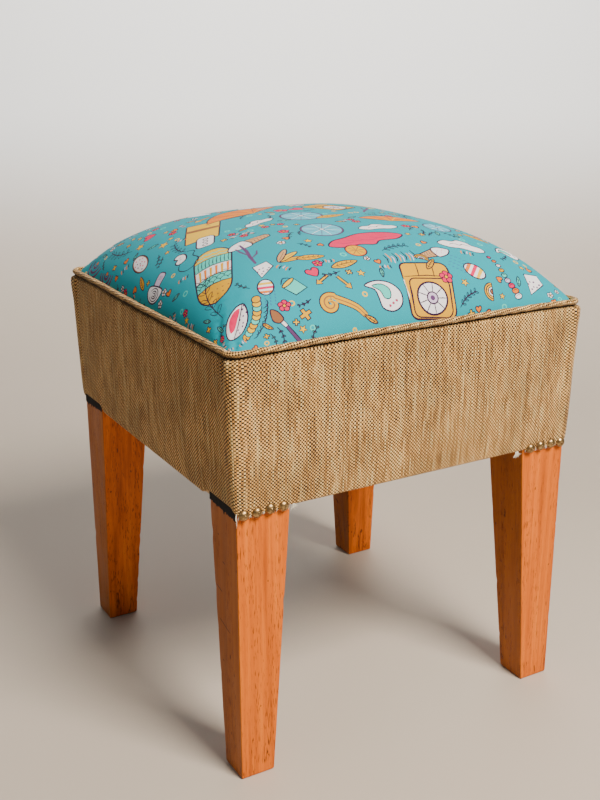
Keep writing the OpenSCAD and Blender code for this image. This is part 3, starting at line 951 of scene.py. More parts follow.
def curve(points, closed=True, n=4):
    """A smooth line through the points."""
    p = np.array(points, float)
    count = len(p)
    out = []
    for i in range(count if closed else count - 1):
        if closed:
            q = [p[(i + k) % count] for k in (-1, 0, 1, 2)]
        else:
            q = [p[min(max(i + k, 0), count - 1)] for k in (-1, 0, 1, 2)]
        for t in np.arange(n) / n:
            slope, bend = q[2] - q[0], 2 * q[0] - 5 * q[1] + 4 * q[2] - q[3]
            twist = 3 * q[1] - q[0] - 3 * q[2] + q[3]
            out.append(0.5 * (2 * q[1] + slope * t + bend * t ** 2 + twist * t ** 3))
    if not closed:
        out.append(p[-1])
    return [tuple(v) for v in out]


def box(w, h, r=0, at=(0, 0)):
    """A rectangle with rounded corners."""
    x, y = w / 2 - r, h / 2 - r
    if not r:
        return [(at[0] + sx * x, at[1] + sy * y) for sx, sy in ((-1, -1), (1, -1), (1, 1), (-1, 1))]
    out = []
    for sx, sy, a in ((1, 1, 0), (-1, 1, 90), (-1, -1, 180), (1, -1, 270)):
        out += arc(r, r, a, a + 90, 4, (at[0] + sx * x, at[1] + sy * y))
    return out


BOLD = 1.45                                 # every stroke's width times this


class Pen:
    """Draws shapes at a place on the cloth, turned and sized, into one shared list."""
    shapes = []

    def __init__(self, x=0, y=0, turn=0, size=1.0):
        a = math.radians(turn)
        self.row = np.array(((math.cos(a), math.sin(a)), (-math.sin(a), math.cos(a)))) * size
        self.at = np.array((x, y), float)
        self.size = size

    def own(self, points):
        """Points on the cloth, in the pen's own frame."""
        return (points - self.at) @ self.row.T / self.size ** 2

    def put(self, loops, colour, clip=None):
        placed = [np.array(loop, float) @ self.row + self.at for loop in loops]
        inside = np.array(clip, float) @ self.row + self.at if clip else None
        Pen.shapes.append((placed, colour, inside))

    def fill(self, points, colour, clip=None):
        self.put([points], colour, clip)

    def line(self, points, width=1.0, colour=INK, closed=False, clip=None):
        """A pen stroke: open strokes thin out to their ends."""
        p = np.array(points, float)
        width *= BOLD / self.size
        if closed:
            along = np.roll(p, -1, 0) - np.roll(p, 1, 0)
            reach = np.full(len(p), width / 2)
        else:
            along = np.gradient(p, axis=0)
            ends = np.sin(np.linspace(0.12, math.pi - 0.12, len(p))) ** 0.5
            reach = width / 2 * (0.35 + 0.65 * ends)
        across = np.column_stack([-along[:, 1], along[:, 0]])
        across /= np.maximum(np.linalg.norm(across, axis=1, keepdims=True), 1e-9)
        left, right = p + across * reach[:, None], p - across * reach[:, None]
        loops = [left, right] if closed else [np.vstack([left, right[::-1]])]
        self.put(loops, colour, clip)

    def shape(self, points, colour, width=1.0):
        self.fill(points, colour)
        self.line(points, width, closed=True)


# Motifs, each drawn about its own middle. The pen sets its place, turn and size.

def flower(pen, petals=5, colour=PINK, middle=MUSTARD):
    for k in range(petals):
        a = 360 * k / petals
        c, s = math.cos(math.radians(a)), math.sin(math.radians(a))
        pen.shape(arc(2.6, 2.6, at=(3.4 * c, 3.4 * s), n=9), colour, 0.7)
    pen.shape(arc(1.7, n=8), middle, 0.6)


def heart(pen, colour=PINK):
    pen.shape(curve([(0, -6), (4, -2.5), (6.3, 1.5), (4.6, 4.8), (1.6, 4.6), (0, 2.6),
                     (-1.6, 4.6), (-4.6, 4.8), (-6.3, 1.5), (-4, -2.5)], n=2), colour, 0.8)


def star(pen, colour=YELLOW, points=5):
    tips = [((5 if k % 2 == 0 else 2.2) * math.cos(math.pi * k / points),
             (5 if k % 2 == 0 else 2.2) * math.sin(math.pi * k / points)) for k in range(2 * points)]
    pen.shape(tips, colour, 0.7)


def leaf(pen, colour=MUSTARD, length=24, width=8, veins=4):
    half = length / 2
    outline = curve([(-half, 0), (-half * 0.4, width * 0.45), (half * 0.35, width * 0.4), (half, 0),
                     (half * 0.35, -width * 0.4), (-half * 0.4, -width * 0.45)], n=3)
    pen.shape(outline, colour, 0.8)
    pen.line([(-half, 0), (0, 0.4), (half * 0.8, 0)], 0.6)
    for k in range(veins):
        x = -half * 0.6 + length * 0.7 * k / veins
        for side in (-1, 1):
            pen.line([(x, 0), (x + 1.6, side * width * 0.16), (x + 2.6, side * width * 0.3)], 0.5)


def sprig(pen, leaves=5, length=40, colour=None, bend=4):
    """A stem with pairs of leaves: filled ones where a colour is given."""
    stem = [(-length / 2 + length * t, bend * math.sin(math.pi * t)) for t in np.linspace(0, 1, 9)]
    pen.line(stem, 0.9)
    for k in range(leaves):
        t = (k + 0.8) / (leaves + 0.4)
        x, y = -length / 2 + length * t, bend * math.sin(math.pi * t)
        for side in (-1, 1):
            tip = curve([(x, y), (x + 1.5, y + side * 2.8), (x + 4.6, y + side * 4.8),
                         (x + 4.3, y + side * 2)], n=2)
            if colour:
                pen.shape(tip, colour, 0.6)
            else:
                pen.line(tip, 0.6, closed=True)


def arrow(pen, colour=MUSTARD, length=20):
    half = length / 2
    pen.shape([(-half, -1.5), (half - 6, -1.5), (half - 6, -4.2), (half, 0),
               (half - 6, 4.2), (half - 6, 1.5), (-half, 1.5), (-half + 2, 0)], colour, 0.8)


def cloud(pen, colour=WHITE, width=34):
    w = width / 2
    pen.shape(curve([(-w, -1), (-w * 0.72, 4.5), (-w * 0.35, 5), (-w * 0.1, 8.5),
                     (w * 0.3, 7.4), (w * 0.5, 4.4), (w * 0.85, 3.6), (w, -1),
                     (w * 0.6, -4.4), (0, -3.4), (-w * 0.55, -4.6)], n=3), colour, 0.9)
    pen.line(curve([(-w * 0.5, -0.5), (-w * 0.3, 2.2), (-w * 0.05, 1),
                    (w * 0.1, 3.6), (w * 0.4, 2.4)], False, 3), 0.7)


def wheel(pen, radius=17, spokes=12, colour=BLUE):
    pen.shape(arc(radius, n=34), PLUM, 0.4)
    pen.fill(arc(radius - 1.6, n=34), colour)
    for k in range(spokes):
        a = 2 * math.pi * k / spokes
        c, s = math.cos(a), math.sin(a)
        pen.line([(1.5 * c, 1.5 * s), (radius / 2 * c, radius / 2 * s),
                  ((radius - 1.6) * c, (radius - 1.6) * s)], 0.55, WHITE if k % 2 else PLUM)
    pen.shape(arc(2, n=10), WHITE, 0.7)


def slice_of_fruit(pen, radius=9, colour=MUSTARD, rind=ORANGE):
    pen.shape(arc(radius, n=22), rind, 0.9)
    pen.fill(arc(radius - 1.5, n=20), colour)
    for k in range(8):
        a = math.pi * k / 4
        pen.line([(0, 0), (radius / 2 * math.cos(a), radius / 2 * math.sin(a)),
                  ((radius - 1.5) * math.cos(a), (radius - 1.5) * math.sin(a))], 0.6, BROWN)


def scroll(pen, colour=MUSTARD):
    """A thick line that curls over at its end."""
    path = [(26, -20), (20, -9), (11, 0), (2, 8)]
    path += [(-5 + 9 * (1 - k / 13) * math.cos(math.radians(40 + 38 * k)),
              4 + 9 * (1 - k / 13) * math.sin(math.radians(40 + 38 * k))) for k in range(12)]
    path = curve(path, False, 3)
    pen.line(path, 7.6 * pen.size)
    pen.line(path, 5.8 * pen.size, colour)
    pen.line(path, 1.0 * pen.size, BROWN)


def paisley(pen, colour=WHITE, inner=MINT):
    pen.shape(curve([(-14, 15), (-2, 15), (9, 8), (13, -3), (8, -13),
                     (-2, -15), (-10, -9), (-9, 0), (-8, 8)], n=4), colour)
    pen.shape(curve([(-8, 12), (1, 10), (5, 3), (1, -4), (-4, -2), (-4, 5)], n=3), inner, 0.7)
    for k in range(3):
        pen.shape(arc(1.0, n=6, at=(5 - 4 * k, -8 - 0.8 * k)), PINK, 0.4)


def dial_box(pen):
    """A rounded box with a spoked dial on its front."""
    pen.shape(box(52, 62, 8), MUSTARD, 1.3)
    pen.line(box(44, 40, 7, at=(0, -9)), 1.0, closed=True)
    for x in (-9, 8):
        pen.line([(x, 13), (x + 1, 20), (x + 2, 30)], 0.9)
    pen.line([(-25, 13), (0, 14.5), (25, 13)], 0.9)
    pen.shape(arc(16.5, n=32, at=(0, -10)), WHITE, 1.4)
    for k in range(9):
        c, s = math.cos(2 * math.pi * k / 9), math.sin(2 * math.pi * k / 9)
        pen.line([(6 * c, 6 * s - 10), (11 * c, 11 * s - 10), (16 * c, 16 * s - 10)], 0.8)
    pen.shape(arc(6, n=16, at=(0, -10)), LILAC, 1.0)
    pen.fill(arc(2.6, n=10, at=(0, -10)), PLUM)


def banded_pod(pen, length=92, width=40):
    """A long round-ended pod in bands: dots, scallops, stripes and zigzags."""
    half, r = length / 2, width / 2
    outline = arc(r * 1.15, r, -90, 90, 12, at=(half - r, 0))
    outline += arc(r * 1.15, r, 90, 270, 12, at=(-half + r, 0))
    pen.fill(outline, MUSTARD)
    bands = [(-half * 0.52, MUSTARD), (-half * 0.20, MINT), (half * 0.22, WHITE),
             (half * 0.58, MINT), (half * 1.1, YELLOW)]
    start = -half * 1.2
    for end, colour in bands:
        pen.fill([(start, -r - 2), (end, -r - 2), (end + 3, 0),
                  (end, r + 2), (start, r + 2), (start + 3, 0)], colour, outline)
        start = end
    for k in range(14):
        x, y = -half * 1.04 + 7 * (k % 3) + 2, -r * 0.8 + 6.2 * (k // 2.8)
        pen.fill(arc(0.9, 1.2, n=6, at=(x, y)), BROWN, outline)
    for row in range(3):
        for k in range(6):
            at = (-half * 0.44 + 5.5 * row, -r + 8 * k + 4 * (row % 2))
            pen.line(arc(5, 4.2, -90, 90, 6, at=at), 0.7, clip=outline)
    for k in range(7):
        y = -r + 3 + 6 * k
        pen.fill([(-half * 0.15, y), (half * 0.21, y - 0.5),
                  (half * 0.21, y + 2.3), (-half * 0.15, y + 2)],
                 MUSTARD if k % 2 else ORANGE, outline)
    for k in range(10):
        y = -r + 3 + 4 * k
        pen.line([(half * 0.27, y), (half * 0.42, y + 0.6), (half * 0.6, y)], 0.7, clip=outline)
    for k in range(2):
        x = half * (0.68 + 0.16 * k)
        pen.line([(x + (2.4 if j % 2 else 0), -r + 4 * j) for j in range(11)], 1.6, MINT, clip=outline)
    for end, _ in bands[:-1]:
        pen.line([(end, -r - 1), (end + 2, -r / 2), (end + 3, 0), (end + 2, r / 2), (end, r + 1)],
                 1.1, clip=outline)
    pen.line(outline, 1.2, closed=True)


def spotted_leaf(pen):
    """A broad pointed shape, plain above and spotted below, with a scalloped strip beside it."""
    outline = curve([(-24, 12), (-8, 17), (10, 12), (22, 0), (10, -8), (-6, -10), (-20, -4)], n=4)
    pen.fill(outline, WHITE)
    pen.fill(curve([(-15, 10), (0, 13), (12, 8), (16, 2), (2, 3), (-10, 5)], n=3), PINK, outline)
    for k in range(9):
        pen.fill(arc(1.4, 1.0, n=7, at=(-16 + 4.4 * k, -3.6 + 3.2 * math.sin(1.9 * k))), PLUM, outline)
    pen.line(outline, 1.2, closed=True)
    pen.line(curve([(-24, 4), (-8, 1), (8, 0), (22, 0)], False), 0.9)
    strip = [(-22 + 5.4 * k, -14 - 5 * math.sin(math.pi * k / 9)) for k in range(10)]
    for k, (x, y) in enumerate(strip):
        pen.shape(arc(4.8, n=12, at=(x, y)), (MUSTARD, MINT, YELLOW)[k % 3], 0.8)
    for k in range(8):
        pen.line(arc(6, 5, 200, 330, 6, at=(-16 + 5.4 * k, -22 - 3 * math.sin(math.pi * k / 7))), 0.9)


def cone(pen):
    pen.shape([(-2, -8), (26, -3), (28, 2), (25, 6), (-2, 9)], TAN, 1.0)
    for k in range(6):
        pen.line([(1 + 4.4 * k, -7 + k), (3.5 + 4.4 * k, 1), (1 + 4.4 * k, 8 - 0.5 * k)], 0.5)
    pen.shape(curve([(-2, -9), (-12, -9), (-22, -3), (-26, 2),
                     (-18, 9), (-8, 11), (-1, 10), (1, 0)], n=3), WHITE, 1.0)
    for k in range(6):
        pen.line([(-18 + 3 * k, -3 + 2.6 * (k % 3)), (-16.6 + 3 * k, -1.6 + 2.6 * (k % 3))], 0.8, PINK)


def mushroom(pen):
    pen.shape(curve([(-5, -18), (5, -18), (6, -8), (4, 2), (-4, 2), (-6, -8)], n=3), LILAC, 1.0)
    pen.shape(curve([(-14, 0), (-12, 9), (-3, 15), (8, 13),
                     (14, 5), (12, -2), (0, -3)], n=4), WHITE, 1.1)
    for r in (8.5, 5, 2.2):
        pen.line(arc(r, r * 0.8, 20, 330, 14, at=(0, 6)), 0.9)
    for k in (-1, 0, 1):
        pen.line([(2 * k, -15), (2 * k, -10)], 0.6)


def medallion(pen, rim=BROWN):
    pen.shape(arc(20, 11, n=28), rim, 0.9)
    pen.fill(arc(18, 9.2, n=26), WHITE)
    for k in range(12):
        a = 2.4 * k
        r = 0.27 * math.sqrt(k)
        at = (17 * r * math.cos(a), 8.4 * r * math.sin(a))
        pen.fill(arc(1.5, 1.0, n=7, at=at), PINK if k % 3 else PLUM)


def label_box(pen):
    """A wrapped parcel with a scalloped white tag."""
    pen.shape(box(58, 36, 2), YELLOW, 1.1)
    pen.fill(box(7, 36, at=(8, 0)), BROWN)
    pen.line([(17, -8), (21, -3), (26, -6)], 0.9, BROWN)
    pen.shape(box(30, 19, 6, at=(-36, -4)), WHITE, 1.1)
    for k in range(3):
        pen.line(arc(2.6, n=10, at=(-45 + 8 * k, -4)), 0.8, closed=True)


def loop_line(pen):
    pen.shape(curve([(-9, -4), (-10, 5), (-3, 8), (2, 4),
                     (8, 7), (12, 1), (7, -6), (-2, -7)], n=4), WHITE, 1.2)
    pen.line(curve([(-9, 3), (-22, 8), (-34, 0), (-32, -13),
                    (-20, -18), (-8, -14), (2, -18), (10, -10)], False, 4), 1.0)
    for x in (-2, 3):
        pen.line([(x, 2), (x + 1, -1)], 0.8)


def beads(pen, count=9):
    colours = [PINK, ORANGE, WHITE, MUSTARD, MINT, LILAC]
    for k in range(count):
        r = 2.6 + 2.6 * k / count
        pen.shape(arc(r, r * 0.72, n=12, at=(1.6 * math.sin(k), 30 - 6.6 * k)), colours[k % 6], 0.8)
        pen.line(arc(r * 0.6, r * 0.4, 0, 180, 4, at=(1.6 * math.sin(k), 29.6 - 6.6 * k)), 0.5)


def stick(pen, tip=BROWN):
    pen.shape([(-4, -1.6), (26, -2.6), (27, 0), (26, 2.6), (-4, 1.6)], PLUM, 0.6)
    pen.shape([(-8, -2.4), (0, -2), (0, 2), (-8, 2.4)], WHITE, 0.7)
    pen.shape(curve([(-8, -3), (-14, -6), (-21, -3), (-26, 2),
                     (-20, 5), (-13, 5), (-8, 3)], n=3), tip, 0.9)


def rainbow(pen, colours=(MUSTARD, YELLOW, WHITE)):
    for k, colour in enumerate((*colours, BROWN)):
        r = 11 - 2.6 * k
        pen.shape(arc(r, r, 0, 180, 14), colour, 0.8)


def spindle(pen):
    """A banded round-ended shape with hatching beside it."""
    pen.shape(arc(11, 8, n=22), WHITE, 1.0)
    outline = arc(11, 8, n=22)
    for k, colour in enumerate((ORANGE, PINK, YELLOW)):
        x = 6 * k
        pen.fill([(-9 + x, -9), (-6 + x, -9), (-4.5 + x, 9), (-8 + x, 9)], colour, outline)
    pen.line(outline, 1.0, closed=True)
    for row in range(5):
        for k in range(4):
            x, y = 4 * row, 5 * k
            pen.line([(-25 + x, -8 + y), (-22.6 + x, -7.6 + y)], 1.0, NAVY)


def cup(pen):
    pen.shape([(-7, -8), (7, -7), (9, 8), (-9, 9)], MINT, 1.0)
    pen.shape(arc(2.6, 8.6, n=14, at=(-8.6, 0.4)), YELLOW, 0.8)
    pen.line(curve([(-11, 7), (-16, 2), (-12, -6)], False), 0.9)


def hatching(pen, count=10):
    for k in range(count):
        x = -14 + 28 * k / count
        lean = 2.2 * math.sin(2.3 * k)
        colour = (INK, ORANGE, LILAC)[k % 3]
        pen.line([(x, -5 + lean * 0.4), (x + 1.6, 0), (x + 0.6, 5 + lean)], 1.1, colour)


def pennant(pen, colour=WHITE, spots=PLUM):
    outline = [(-16, -12), (14, -6), (18, 10), (-4, 16)]
    pen.shape(outline, colour, 1.0)
    for k in range(7):
        at = (-9 + 5.6 * (k % 4), -6 + 8 * (k // 4) + 2 * (k % 2))
        pen.fill(arc(1.7, 1.3, n=7, at=at), spots, outline)


def plus(pen, colour=MUSTARD):
    w, r = 2.0, 6.2
    pen.shape([(-w, -r), (w, -r), (w, -w), (r, -w), (r, w), (w, w), (w, r), (-w, r), (-w, w), (-r, w),
               (-r, -w), (-w, -w)], colour, 1.0)


def ring_mark(pen, colour=YELLOW):
    pen.line(arc(2.6, n=10), 1.0, colour, closed=True)


def twig(pen):
    pen.line([(-24, -5), (-8, -1), (8, 1), (26, 6)], 2.6, PLUM)
    pen.line([(-4, 0), (8, 7), (18, 11)], 1.6, PLUM)
    pen.line([(-12, -2), (-4, -8), (4, -9)], 1.6, PLUM)


def wings(pen):
    """Three fanned feathers."""
    for k, colour in enumerate((MUSTARD, YELLOW, TAN)):
        a = math.radians(-24 + 26 * k)
        petal = [(x * math.cos(a) - y * math.sin(a), x * math.sin(a) + y * math.cos(a))
                 for x, y in curve([(0, 0), (8, 3.4), (20, 2.6), (25, 0), (20, -2.4), (8, -2.6)], n=3)]
        pen.shape(petal, colour, 0.8)
        pen.line([(4 * math.cos(a), 4 * math.sin(a)), (20 * math.cos(a), 20 * math.sin(a))], 0.5)


def dark_arcs(pen):
    for r in (15, 10, 5):
        pen.line(arc(r, r * 1.2, 20, 200, 12), 2.6, PLUM)
    pen.shape(arc(2.4, n=8), ORANGE, 0.7)


def big_cloud(pen):
    outline = curve([(-44, -4), (-34, 6), (-18, 9), (0, 14), (18, 13), (36, 7),
                     (46, -2), (34, -9), (14, -8), (4, -14), (-12, -10), (-30, -11)], n=4)
    pen.shape(outline, PINK, 1.1)
    for k in range(4):
        pen.line(arc(12, 6, 190, 300, 7, at=(-20 + 14 * k, 2 + 2 * (k % 2))), 0.9, DEEP_PINK)


def fan(pen, colour=ORANGE):
    """A wide pleated fan."""
    outline = [(0, -14)] + arc(46, 30, 25, 155, 16, at=(0, -14))
    pen.shape(outline, colour, 1.1)
    for k in range(1, 8):
        a = math.radians(25 + 130 * k / 8)
        c, s = math.cos(a), math.sin(a)
        pen.line([(0, -14), (23 * c, 15 * s - 14), (46 * c, 30 * s - 14)],
                 0.8, YELLOW if k % 2 else BROWN)


# Where the large motifs lie: the motif, its place on the flat cloth, its turn and its size.
# Those near the front stand about where the photographed print has drawings of that size.
LARGE = [
    (dial_box, 22, -200, -8, 1.0), (paisley, -28, -200, 15, 1.15), (scroll, -84, -203, 10, 0.95),
    (plus, -118, -205, 20, 1.0), (ring_mark, -127, -190, 0, 1.0), (stick, -140, -212, -62, 0.95),
    (spotted_leaf, -184, -182, 52, 1.0), (banded_pod, -165, -92, 62, 1.0), (cone, -112, -71, 10, 0.95),
    (label_box, -122, 14, 62, 1.0), (sprig, -184, 105, 100, 1.2), (medallion, -190, 42, 80, 0.9),
    (mushroom, -207, -20, 100, 1.0), (loop_line, -168, -24, 74, 0.9), (sprig, -186, -128, 74, 1.7),
    (spindle, -141, -160, 70, 1.0), (cup, -116, -173, -62, 1.0), (pennant, -130, -134, 20, 0.7),
    (wheel, -20, -14, 0, 1.35), (wheel, -33, -78, 0, 1.3), (big_cloud, -8, -117, 4, 1.0),
    (slice_of_fruit, -30, -138, 0, 1.2), (fan, -57, 52, 20, 1.3), (cloud, 26, -90, -6, 1.3),
    (cloud, 90, -147, -22, 1.5), (wings, -112, -132, 20, 1.1), (leaf, -80, -137, -10, 1.2),
    (heart, -90, -160, 10, 1.15), (flower, -135, -190, 0, 1.15), (flower, -79, -149, 0, 0.9),
    (flower, 45, -190, 10, 1.25), (arrow, -86, -172, -152, 0.95), (arrow, -66, -180, -64, 1.0),
    (hatching, 10, -158, 0, 1.3), (spindle, 82, -186, -40, 1.1), (beads, 118, -196, 12, 1.0),
    (pennant, 152, -202, 20, 0.9), (rainbow, 93, -211, 80, 0.9), (sprig, 12, -142, 8, 0.8),
    (sprig, 62, -216, 30, 0.7), (dark_arcs, -204, 152, 50, 1.3), (dark_arcs, -214, 108, 70, 1.1),
    (leaf, -54, -157, 8, 1.3), (twig, -126, -96, 68, 1.0), (leaf, -208, 14, 60, 0.9),
    (heart, -155, 82, 60, 1.3), (star, -172, 74, 0, 1.3), (star, -160, 34, 20, 1.4),
    (sprig, -156, 0, 84, 0.9), (cone, 50, -156, 190, 0.75), (leaf, 36, -172, 40, 0.8),
    (rainbow, 30, -164, -30, 0.7), (flower, -70, -66, 0, 1.0), (leaf, 6, -30, 10, 1.6),
    (cloud, -70, -14, 20, 1.2), (fan, 60, -60, -20, 0.8), (wheel, 96, -96, 0, 0.9),
    (paisley, 150, -150, 60, 0.9), (leaf, 130, -120, -40, 1.3), (medallion, 170, -96, 10, 1.0),
    (sprig, 100, -40, 50, 1.3), (banded_pod, 150, -20, 100, 0.8), (mushroom, 200, -150, -60, 1.0),
    (dial_box, 40, 30, 30, 0.8), (scroll, 100, 60, 160, 1.2), (cloud, -20, 90, 10, 1.5),
    (big_cloud, 60, 120, 170, 0.9), (cone, -90, 110, 120, 1.1), (banded_pod, -30, 160, 20, 0.9),
    (label_box, 130, 140, 80, 0.8), (wheel, -120, 170, 0, 1.0), (spotted_leaf, 190, 60, 200, 1.0),
    (medallion, 40, 200, 0, 1.0), (mushroom, 110, 200, 150, 1.0), (sprig, -60, 205, 10, 1.5),
    (paisley, -165, 200, 120, 0.9), (fan, 180, 190, 210, 0.9), (heart, 0, 30, 30, 1.5),
    (slice_of_fruit, 200, 0, 0, 1.2), (twig, 70, 0, 40, 1.0), (beads, -60, 130, 60, 1.0),
    (leaf, -20, 120, 80, 1.5), (spindle, 20, 70, 130, 1.1), (cup, 150, 90, 30, 1.2),
    (star, 90, 20, 0, 1.6), (arrow, -100, 60, 200, 1.2), (flower, -20, 30, 0, 1.4),
    (hatching, -30, 60, 60, 1.2), (wings, 200, 120, 100, 1.2), (loop_line, 90, 165, 20, 1.0),
]
SMALL = [
    (flower, 0.8, {"colour": PINK}), (flower, 0.7, {"colour": WHITE}), (star, 0.9, {}),
    (leaf, 0.6, {"veins": 2}), (leaf, 0.55, {"colour": MINT, "veins": 2}),
    (heart, 0.6, {"colour": ORANGE}), (ring_mark, 0.8, {}), (plus, 0.55, {"colour": YELLOW}),
    (sprig, 0.45, {"leaves": 3}), (sprig, 0.5, {"leaves": 3, "colour": MINT}),
    (ring_mark, 1.0, {"colour": MINT}), (hatching, 0.5, {"count": 5}),
]
TRIES = 1150                                # places tried for small motifs between the large ones
GAP = 3.2                                   # kept clear round a large motif
SMALL_REACH = 6.4                           # and each way from the middle of a small one


def draw_print(flat_x, flat_y):
    """Lays out the motifs: the large ones where listed, then small ones in the gaps between them."""
    Pen.shapes = []
    taken = []
    for motif, x, y, turn, size in LARGE:
        first = len(Pen.shapes)
        pen = Pen(x, y, turn, size)
        motif(pen)
        points = pen.own(np.vstack([loop for loops, _, _ in Pen.shapes[first:] for loop in loops]))
        taken.append((pen, points.min(0) - GAP / size, points.max(0) + GAP / size))
    rng = random.Random(7)
    placed = 0
    for _ in range(TRIES):
        here = np.array((rng.uniform(-flat_x, flat_x), rng.uniform(-flat_y, flat_y)))
        if any(np.all(pen.own(here) > lo) and np.all(pen.own(here) < hi) for pen, lo, hi in taken):
            continue
        motif, size, settings = SMALL[placed % len(SMALL)]
        motif(Pen(*here, rng.uniform(0, 360), size * rng.uniform(0.85, 1.15)), **settings)
        taken.append((Pen(*here), np.full(2, -SMALL_REACH), np.full(2, SMALL_REACH)))
        placed += 1
    return Pen.shapes


def inside(points, loops):
    """Whether each point lies inside the loops, by the even-odd rule."""
    hit = np.zeros(len(points), bool)
    x, y = points[:, 0], points[:, 1]
    for loop in loops:
        for (x0, y0), (x1, y1) in zip(loop, np.roll(loop, -1, 0)):
            if y0 != y1:
                hit ^= ((y0 > y) != (y1 > y)) & (x < (x1 - x0) * (y - y0) / (y1 - y0) + x0)
    return hit


def print_layout(flat_x, flat_y):
    """Cuts the flat cloth along the print's edges and gives each triangle its colour."""
    half_x, half_y = flat_x / MM, flat_y / MM
    n = GRID
    points = [Vector((half_x * (2 * i / n - 1), half_y * (2 * j / n - 1)))
              for i in range(n + 1) for j in range(n + 1)]
    border = [i * (n + 1) for i in range(n + 1)] + [n * (n + 1) + j for j in range(1, n + 1)]
    border += [i * (n + 1) + n for i in range(n - 1, -1, -1)] + list(range(n - 1, 0, -1))
    edges = list(zip(border, border[1:] + border[:1]))
    shapes = draw_print(half_x, half_y)
    for loops, _, _ in shapes:
        for loop in loops:
            first = len(points)
            points += [Vector(p) for p in loop]
            count = len(loop)
            edges += [(first + k, first + (k + 1) % count) for k in range(count)]
    cut = geometry.delaunay_2d_cdt(points, edges, [], 0, 0.02)
    flat = np.array([tuple(p) for p in cut[0]])
    faces = np.array([f for f in cut[2]])
    middle = flat[faces].mean(1)
    keep = (np.abs(middle[:, 0]) < half_x) & (np.abs(middle[:, 1]) < half_y)
    faces, middle = faces[keep], middle[keep]
    inks = np.tile(np.array(TEAL), (len(faces), 1))
    for loops, colour, clip in shapes:
        lo = np.min([loop.min(0) for loop in loops], 0)
        hi = np.max([loop.max(0) for loop in loops], 0)
        near = np.flatnonzero(np.all((middle >= lo) & (middle <= hi), 1))
        hit = inside(middle[near], loops)
        if clip is not None:
            hit &= inside(middle[near], [clip])
        inks[near[hit]] = colour
    used = np.unique(faces)
    renumber = np.full(len(flat), -1)
    renumber[used] = np.arange(len(used))
    return flat[used] * MM, renumber[faces], inks


# ---------------------------------------------------------------- nails

NAILS = 4
NAIL_D = 11 * MM
NAIL_H = 4.3 * MM
NAIL_SUNK = 3.4 * MM                        # from the CAD nail's outer face back to its rim


def make_nails(corner, sy, seed):
    """Four domed nails, each a little different, with a rolled rim."""
    rng = random.Random(seed)
    lo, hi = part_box("nails_" + corner)
    pitch = (hi.x - lo.x - NAIL_D) / (NAILS - 1)
    face = lo.y if sy < 0 else hi.y
    verts, faces = [], []
    rings, around = 10, 28
    for k in range(NAILS):
        cx = lo.x + NAIL_D / 2 + k * pitch + rng.uniform(-0.25, 0.25) * MM
        cz = (lo.z + hi.z) / 2 + rng.uniform(-0.7, 0.7) * MM
        base = face - sy * NAIL_SUNK
        tilt = rng.uniform(-0.06, 0.06), rng.uniform(-0.06, 0.06)
        first = len(verts)
        verts.append((cx, base + sy * NAIL_H, cz))
        for r in range(1, rings + 1):
            t = r / rings
            rad = NAIL_D / 2 * math.sin(t * math.pi / 2)
            h = NAIL_H * math.cos(t * math.pi / 2)
            for q in range(around):
                a = 2 * math.pi * q / around
                x, z = cx + rad * math.cos(a), cz + rad * math.sin(a)
                dent = 0.12 * MM * wobble(x, 0, z, 3 * MM, seed + k)
                lean = rad * (math.cos(a) * tilt[0] + math.sin(a) * tilt[1])
                verts.append((x, base + sy * (h + dent + lean), z))
        for q in range(around):
            a = 2 * math.pi * q / around
            rad = NAIL_D / 2 - 0.7 * MM
            verts.append((cx + rad * math.cos(a), base - sy * 0.5 * MM, cz + rad * math.sin(a)))
        for q in range(around):
            faces.append((first, first + 1 + q, first + 1 + (q + 1) % around))
        faces += grid_faces(rings + 1, around, closed=True, first=first + 1)
    if sy < 0:
        faces = [f[::-1] for f in faces]
    nails = piece("brass_nails_" + corner, verts, faces, BRASS)
    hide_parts("nails_" + corner)
    return nails


# ---------------------------------------------------------------- lining and dust cover

def make_lining(corner, sx, sy, seed):
    """Torn strip of black lining below the band's edge on a leg's side face."""
    lo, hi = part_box("lining_" + corner)
    rng = random.Random(seed)
    cols, rows = 96, 6
    verts = []
    edge = [rng.uniform(-1, 1) for _ in range(cols + 1)]
    drips = [(rng.uniform(0.0, 1.0), rng.uniform(0.5, 2.2) * MM, rng.uniform(0.006, 0.016))
             for _ in range(15)]
    for r in range(rows + 1):
        for c in range(cols + 1):
            t = c / cols
            y = lo.y + (hi.y - lo.y) * t
            outer = t if sy > 0 else 1 - t
            bottom = (280.2 - 2.2 * outer) * MM + 0.55 * MM * edge[c]
            bottom += 0.45 * MM * wobble(y, 0, 0, 9 * MM, seed)
            for where, length, wide in drips:
                bottom -= length * math.exp(-((outer - where) / wide) ** 2)
            top = hi.z + 1 * MM
            z = top + (bottom - top) * r / rows
            out = 0.45 * MM + 0.3 * MM * wobble(y, z, 0, 7 * MM, seed)
            verts.append(((LEG_X + out) * sx, y, z))
    faces = grid_faces(rows + 1, cols + 1)
    if sx < 0:
        faces = [f[::-1] for f in faces]
    strip = piece("lining_strip_" + corner, verts, faces, CAMBRIC)
    thicken(strip, 0.35 * MM)
    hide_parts("lining_" + corner)
    return strip


